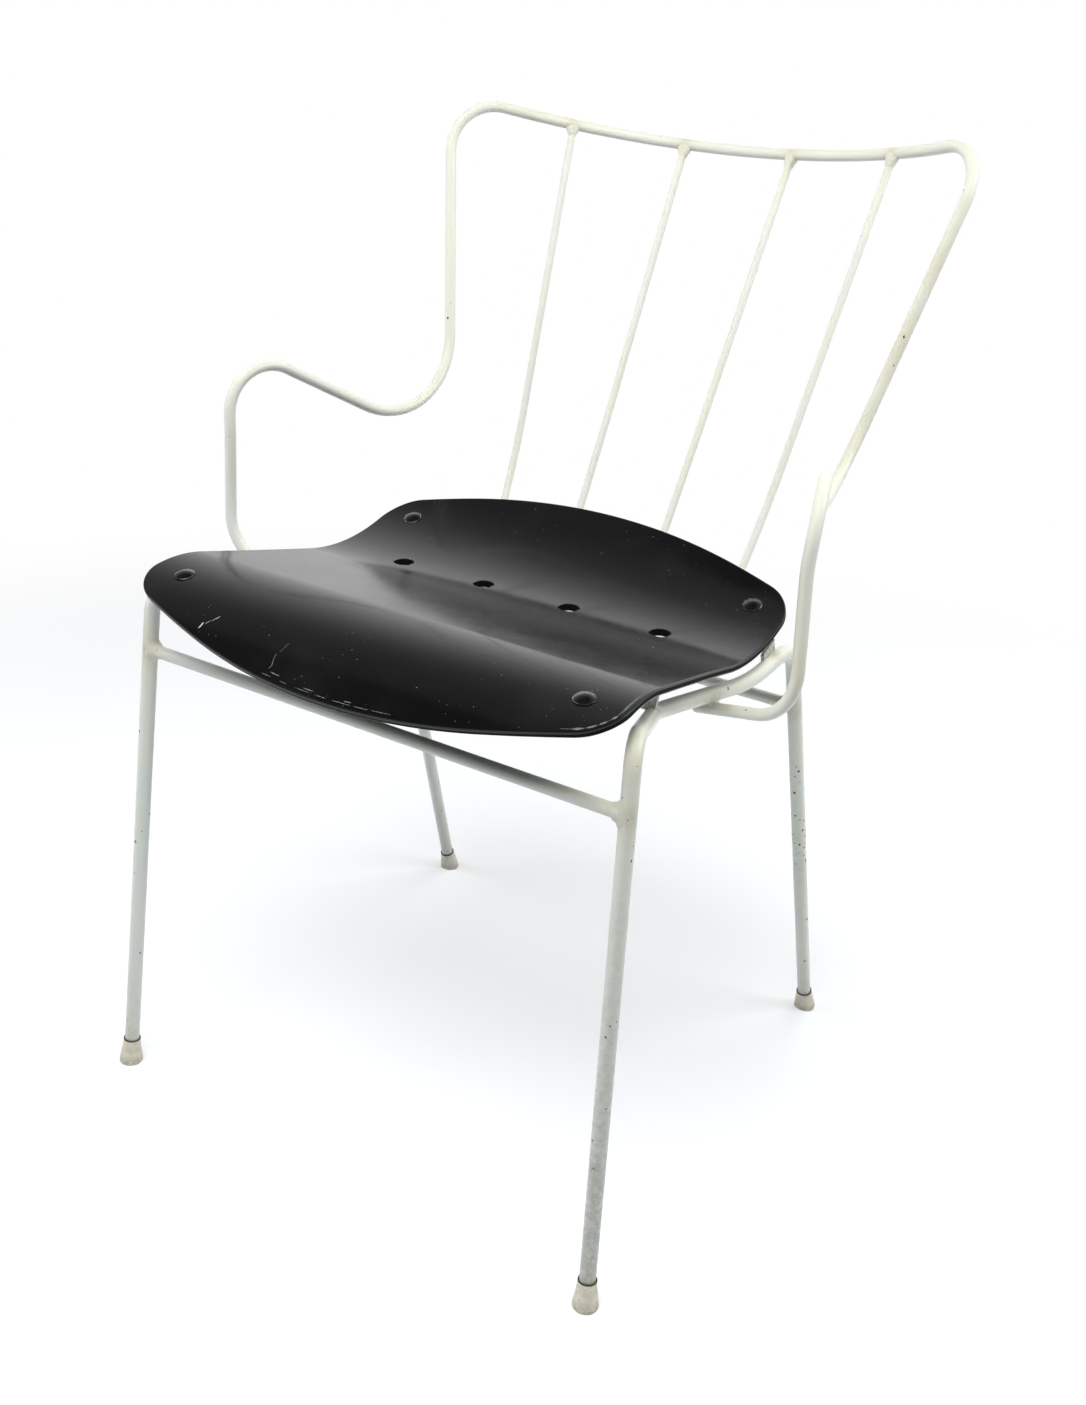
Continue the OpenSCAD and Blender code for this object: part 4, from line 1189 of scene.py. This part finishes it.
def makeSweep():
    bearings = [-115 + 5 * k for k in range(44)]
    heights = [0.0, 0.3, 0.6, 0.95, 1.1, 1.25, 1.35, 1.5, 1.65, 1.8, 1.9, 2.0, 2.15, 2.35, 2.6, 3.0, 3.4]
    points, faces, levels = [], [], []
    for bearing in bearings:
        turn = math.radians(bearing)
        for height in heights:
            points.append((math.sin(turn) * sweep["distance"], math.cos(turn) * sweep["distance"], height))
            level = stepped(sweep["heights"], height) * stepped(sweep["bearings"], bearing)
            levels.append(level + stepped(sweep["haze"], bearing))
    rows = len(heights)
    for i in range(len(bearings) - 1):
        for j in range(rows - 1):
            a = i * rows + j
            faces.append((a, a + rows, a + rows + 1, a + 1))
    mesh = bpy.data.meshes.new("studio_sweep")
    mesh.from_pydata(points, [], faces)
    mesh.attributes.new("level", "FLOAT", "POINT").data.foreach_set("value", levels)
    wall = bpy.data.objects.new("studio_sweep", mesh)
    bpy.context.scene.collection.objects.link(wall)
    n = Nodes("sweepGlow")
    glow = n.add("ShaderNodeEmission")
    n.feed(glow, {"Color": (1, 1, 1, 1), "Strength": n.attribute("level")})
    n.feed(n.out, {"Surface": glow.outputs[0]})
    mesh.materials.append(n.material)
    wall.visible_camera = wall.visible_diffuse = wall.visible_shadow = wall.visible_transmission = False


def makeFloor():
    half = studio["floorSize"] / 2
    mesh = bpy.data.meshes.new("studio_floor")
    count, points, faces = 64, [(0, 0, 0)], []
    for k in range(count):
        turn = 2 * math.pi * k / count
        points.append((half * math.cos(turn), half * math.sin(turn), 0))
    for k in range(count):
        faces.append((0, k + 1, (k + 1) % count + 1))
    mesh.from_pydata(points, [], faces)
    floor = bpy.data.objects.new("studio_floor", mesh)
    bpy.context.scene.collection.objects.link(floor)
    n = Nodes("paleFloor")
    n.feed(n.skin, {"Base Color": (*studio["floor"], 1.0), "Roughness": 0.9, "Specular IOR Level": 0.0})
    # seen directly or in a polished face, the floor is lifted a little and fades to white far out
    paths = n.add("ShaderNodeLightPath")
    lift, white = n.add("ShaderNodeEmission"), n.add("ShaderNodeEmission")
    n.feed(lift, {"Color": (1.0, 0.96, 0.90, 1), "Strength": studio["floorLift"]})
    n.feed(white, {"Color": (1, 1, 1, 1), "Strength": 1.0})
    seen = n.sum("MAXIMUM", paths.outputs["Is Camera Ray"], paths.outputs["Is Glossy Ray"])
    seen = n.sum("MAXIMUM", seen, paths.outputs["Is Transmission Ray"])
    near, far, lit = n.add("ShaderNodeAddShader"), n.add("ShaderNodeMixShader"), n.add("ShaderNodeMixShader")
    n.feed(near, {0: n.skin.outputs[0], 1: lift.outputs[0]})
    away = n.ramp(n.vector("LENGTH", n.place, (0, 0, 0)), studio["fadeFrom"], studio["fadeTo"])
    n.feed(far, {0: away, 1: near.outputs[0], 2: white.outputs[0]})
    n.feed(lit, {0: seen, 1: n.skin.outputs[0], 2: far.outputs[0]})
    n.feed(n.out, {"Surface": lit.outputs[0]})
    mesh.materials.append(n.material)


def makeLamp(name, rule, target=(0, 0, 0.42)):
    lamp = bpy.data.lights.new(name, "AREA")
    lamp.shape = "RECTANGLE"
    lamp.size, lamp.size_y = rule["size"]
    lamp.energy = rule["power"]
    lamp.color = rule["tint"]
    holder = bpy.data.objects.new(name, lamp)
    bpy.context.scene.collection.objects.link(holder)
    place = Vector(rule["place"])
    holder.location = place
    holder.rotation_euler = (Vector(target) - place).to_track_quat("-Z", "Y").to_euler()
    holder.visible_camera = False
    holder.visible_glossy = rule.get("shiny", False)


def makeSky():
    # white to the camera, bands in polished faces and a faint even light for the rest
    sky = bpy.data.worlds.new("studio_sky")
    bpy.context.scene.world = sky
    sky.use_nodes = True
    new, link = sky.node_tree.nodes.new, sky.node_tree.links.new
    sky.node_tree.nodes.clear()
    out, place, split = new("ShaderNodeOutputWorld"), new("ShaderNodeTexCoord"), new("ShaderNodeSeparateXYZ")
    height, bands = new("ShaderNodeMapRange"), new("ShaderNodeValToRGB")
    height.inputs["From Min"].default_value = -1
    link(place.outputs["Generated"], split.inputs[0])
    link(split.outputs["Z"], height.inputs["Value"])
    link(height.outputs["Result"], bands.inputs["Fac"])
    bands.color_ramp.elements[0].position = 0.0
    bands.color_ramp.elements[0].color = (1, 1, 1, 1)
    bands.color_ramp.elements[1].position = 1.0
    bands.color_ramp.elements[1].color = (0.03, 0.03, 0.035, 1)
    for where, level in ((0.50, 1.0), (0.58, 0.9), (0.66, 0.6), (0.76, 0.25), (0.86, 0.07)):
        stop = bands.color_ramp.elements.new(where)
        stop.color = (level, level, level * 1.02, 1)
    paths = new("ShaderNodeLightPath")
    ambient, mirror, plain = [new("ShaderNodeBackground") for _ in range(3)]
    ambient.inputs["Color"].default_value = (*studio["sky"], 1)
    ambient.inputs["Strength"].default_value = studio["skyLevel"]
    link(bands.outputs["Color"], mirror.inputs["Color"])
    plain.inputs["Color"].default_value = (1, 1, 1, 1)
    shiny, seen = new("ShaderNodeMixShader"), new("ShaderNodeMixShader")
    for mix, ray, other, own in ((shiny, "Is Glossy Ray", ambient, mirror),
                                 (seen, "Is Camera Ray", shiny, plain)):
        link(paths.outputs[ray], mix.inputs[0])
        link(other.outputs[0], mix.inputs[1])
        link(own.outputs[0], mix.inputs[2])
    link(seen.outputs[0], out.inputs["Surface"])


makeFloor()
makeSweep()
for name in ("key", "front", "side", "back"):
    makeLamp(name + "_lamp", studio[name])
makeSky()

camera = {
    "target": (0, -20.511, 352.81), "azimuth": 31.28, "elevation": 22.36, "roll": 4.19,
    "distance": 1207.54, "lens": 37.45, "shift": (0.0147, -0.0171),
}


def makeCamera():
    az, el, roll = [math.radians(camera[key]) for key in ("azimuth", "elevation", "roll")]
    back = Vector((math.sin(az) * math.cos(el), -math.cos(az) * math.cos(el), math.sin(el)))
    right = Vector((math.cos(az), math.sin(az), 0))
    up = back.cross(right)
    tiltedRight = right * math.cos(roll) + up * math.sin(roll)
    tiltedUp = up * math.cos(roll) - right * math.sin(roll)
    eye = Vector(camera["target"]) * mm + back * (camera["distance"] * mm)
    lens = bpy.data.cameras.new("photo_camera")
    lens.lens, lens.sensor_width, lens.sensor_fit = camera["lens"], 36, "AUTO"
    lens.shift_x, lens.shift_y = camera["shift"]
    lens.clip_start = 0.05
    viewer = bpy.data.objects.new("photo_camera", lens)
    bpy.context.scene.collection.objects.link(viewer)
    turn = Matrix((tiltedRight, tiltedUp, back)).transposed().to_4x4()
    viewer.matrix_world = Matrix.Translation(eye) @ turn
    bpy.context.scene.camera = viewer


makeCamera()
bpy.context.scene.view_settings.view_transform = "Standard"
bpy.context.view_layer.update()
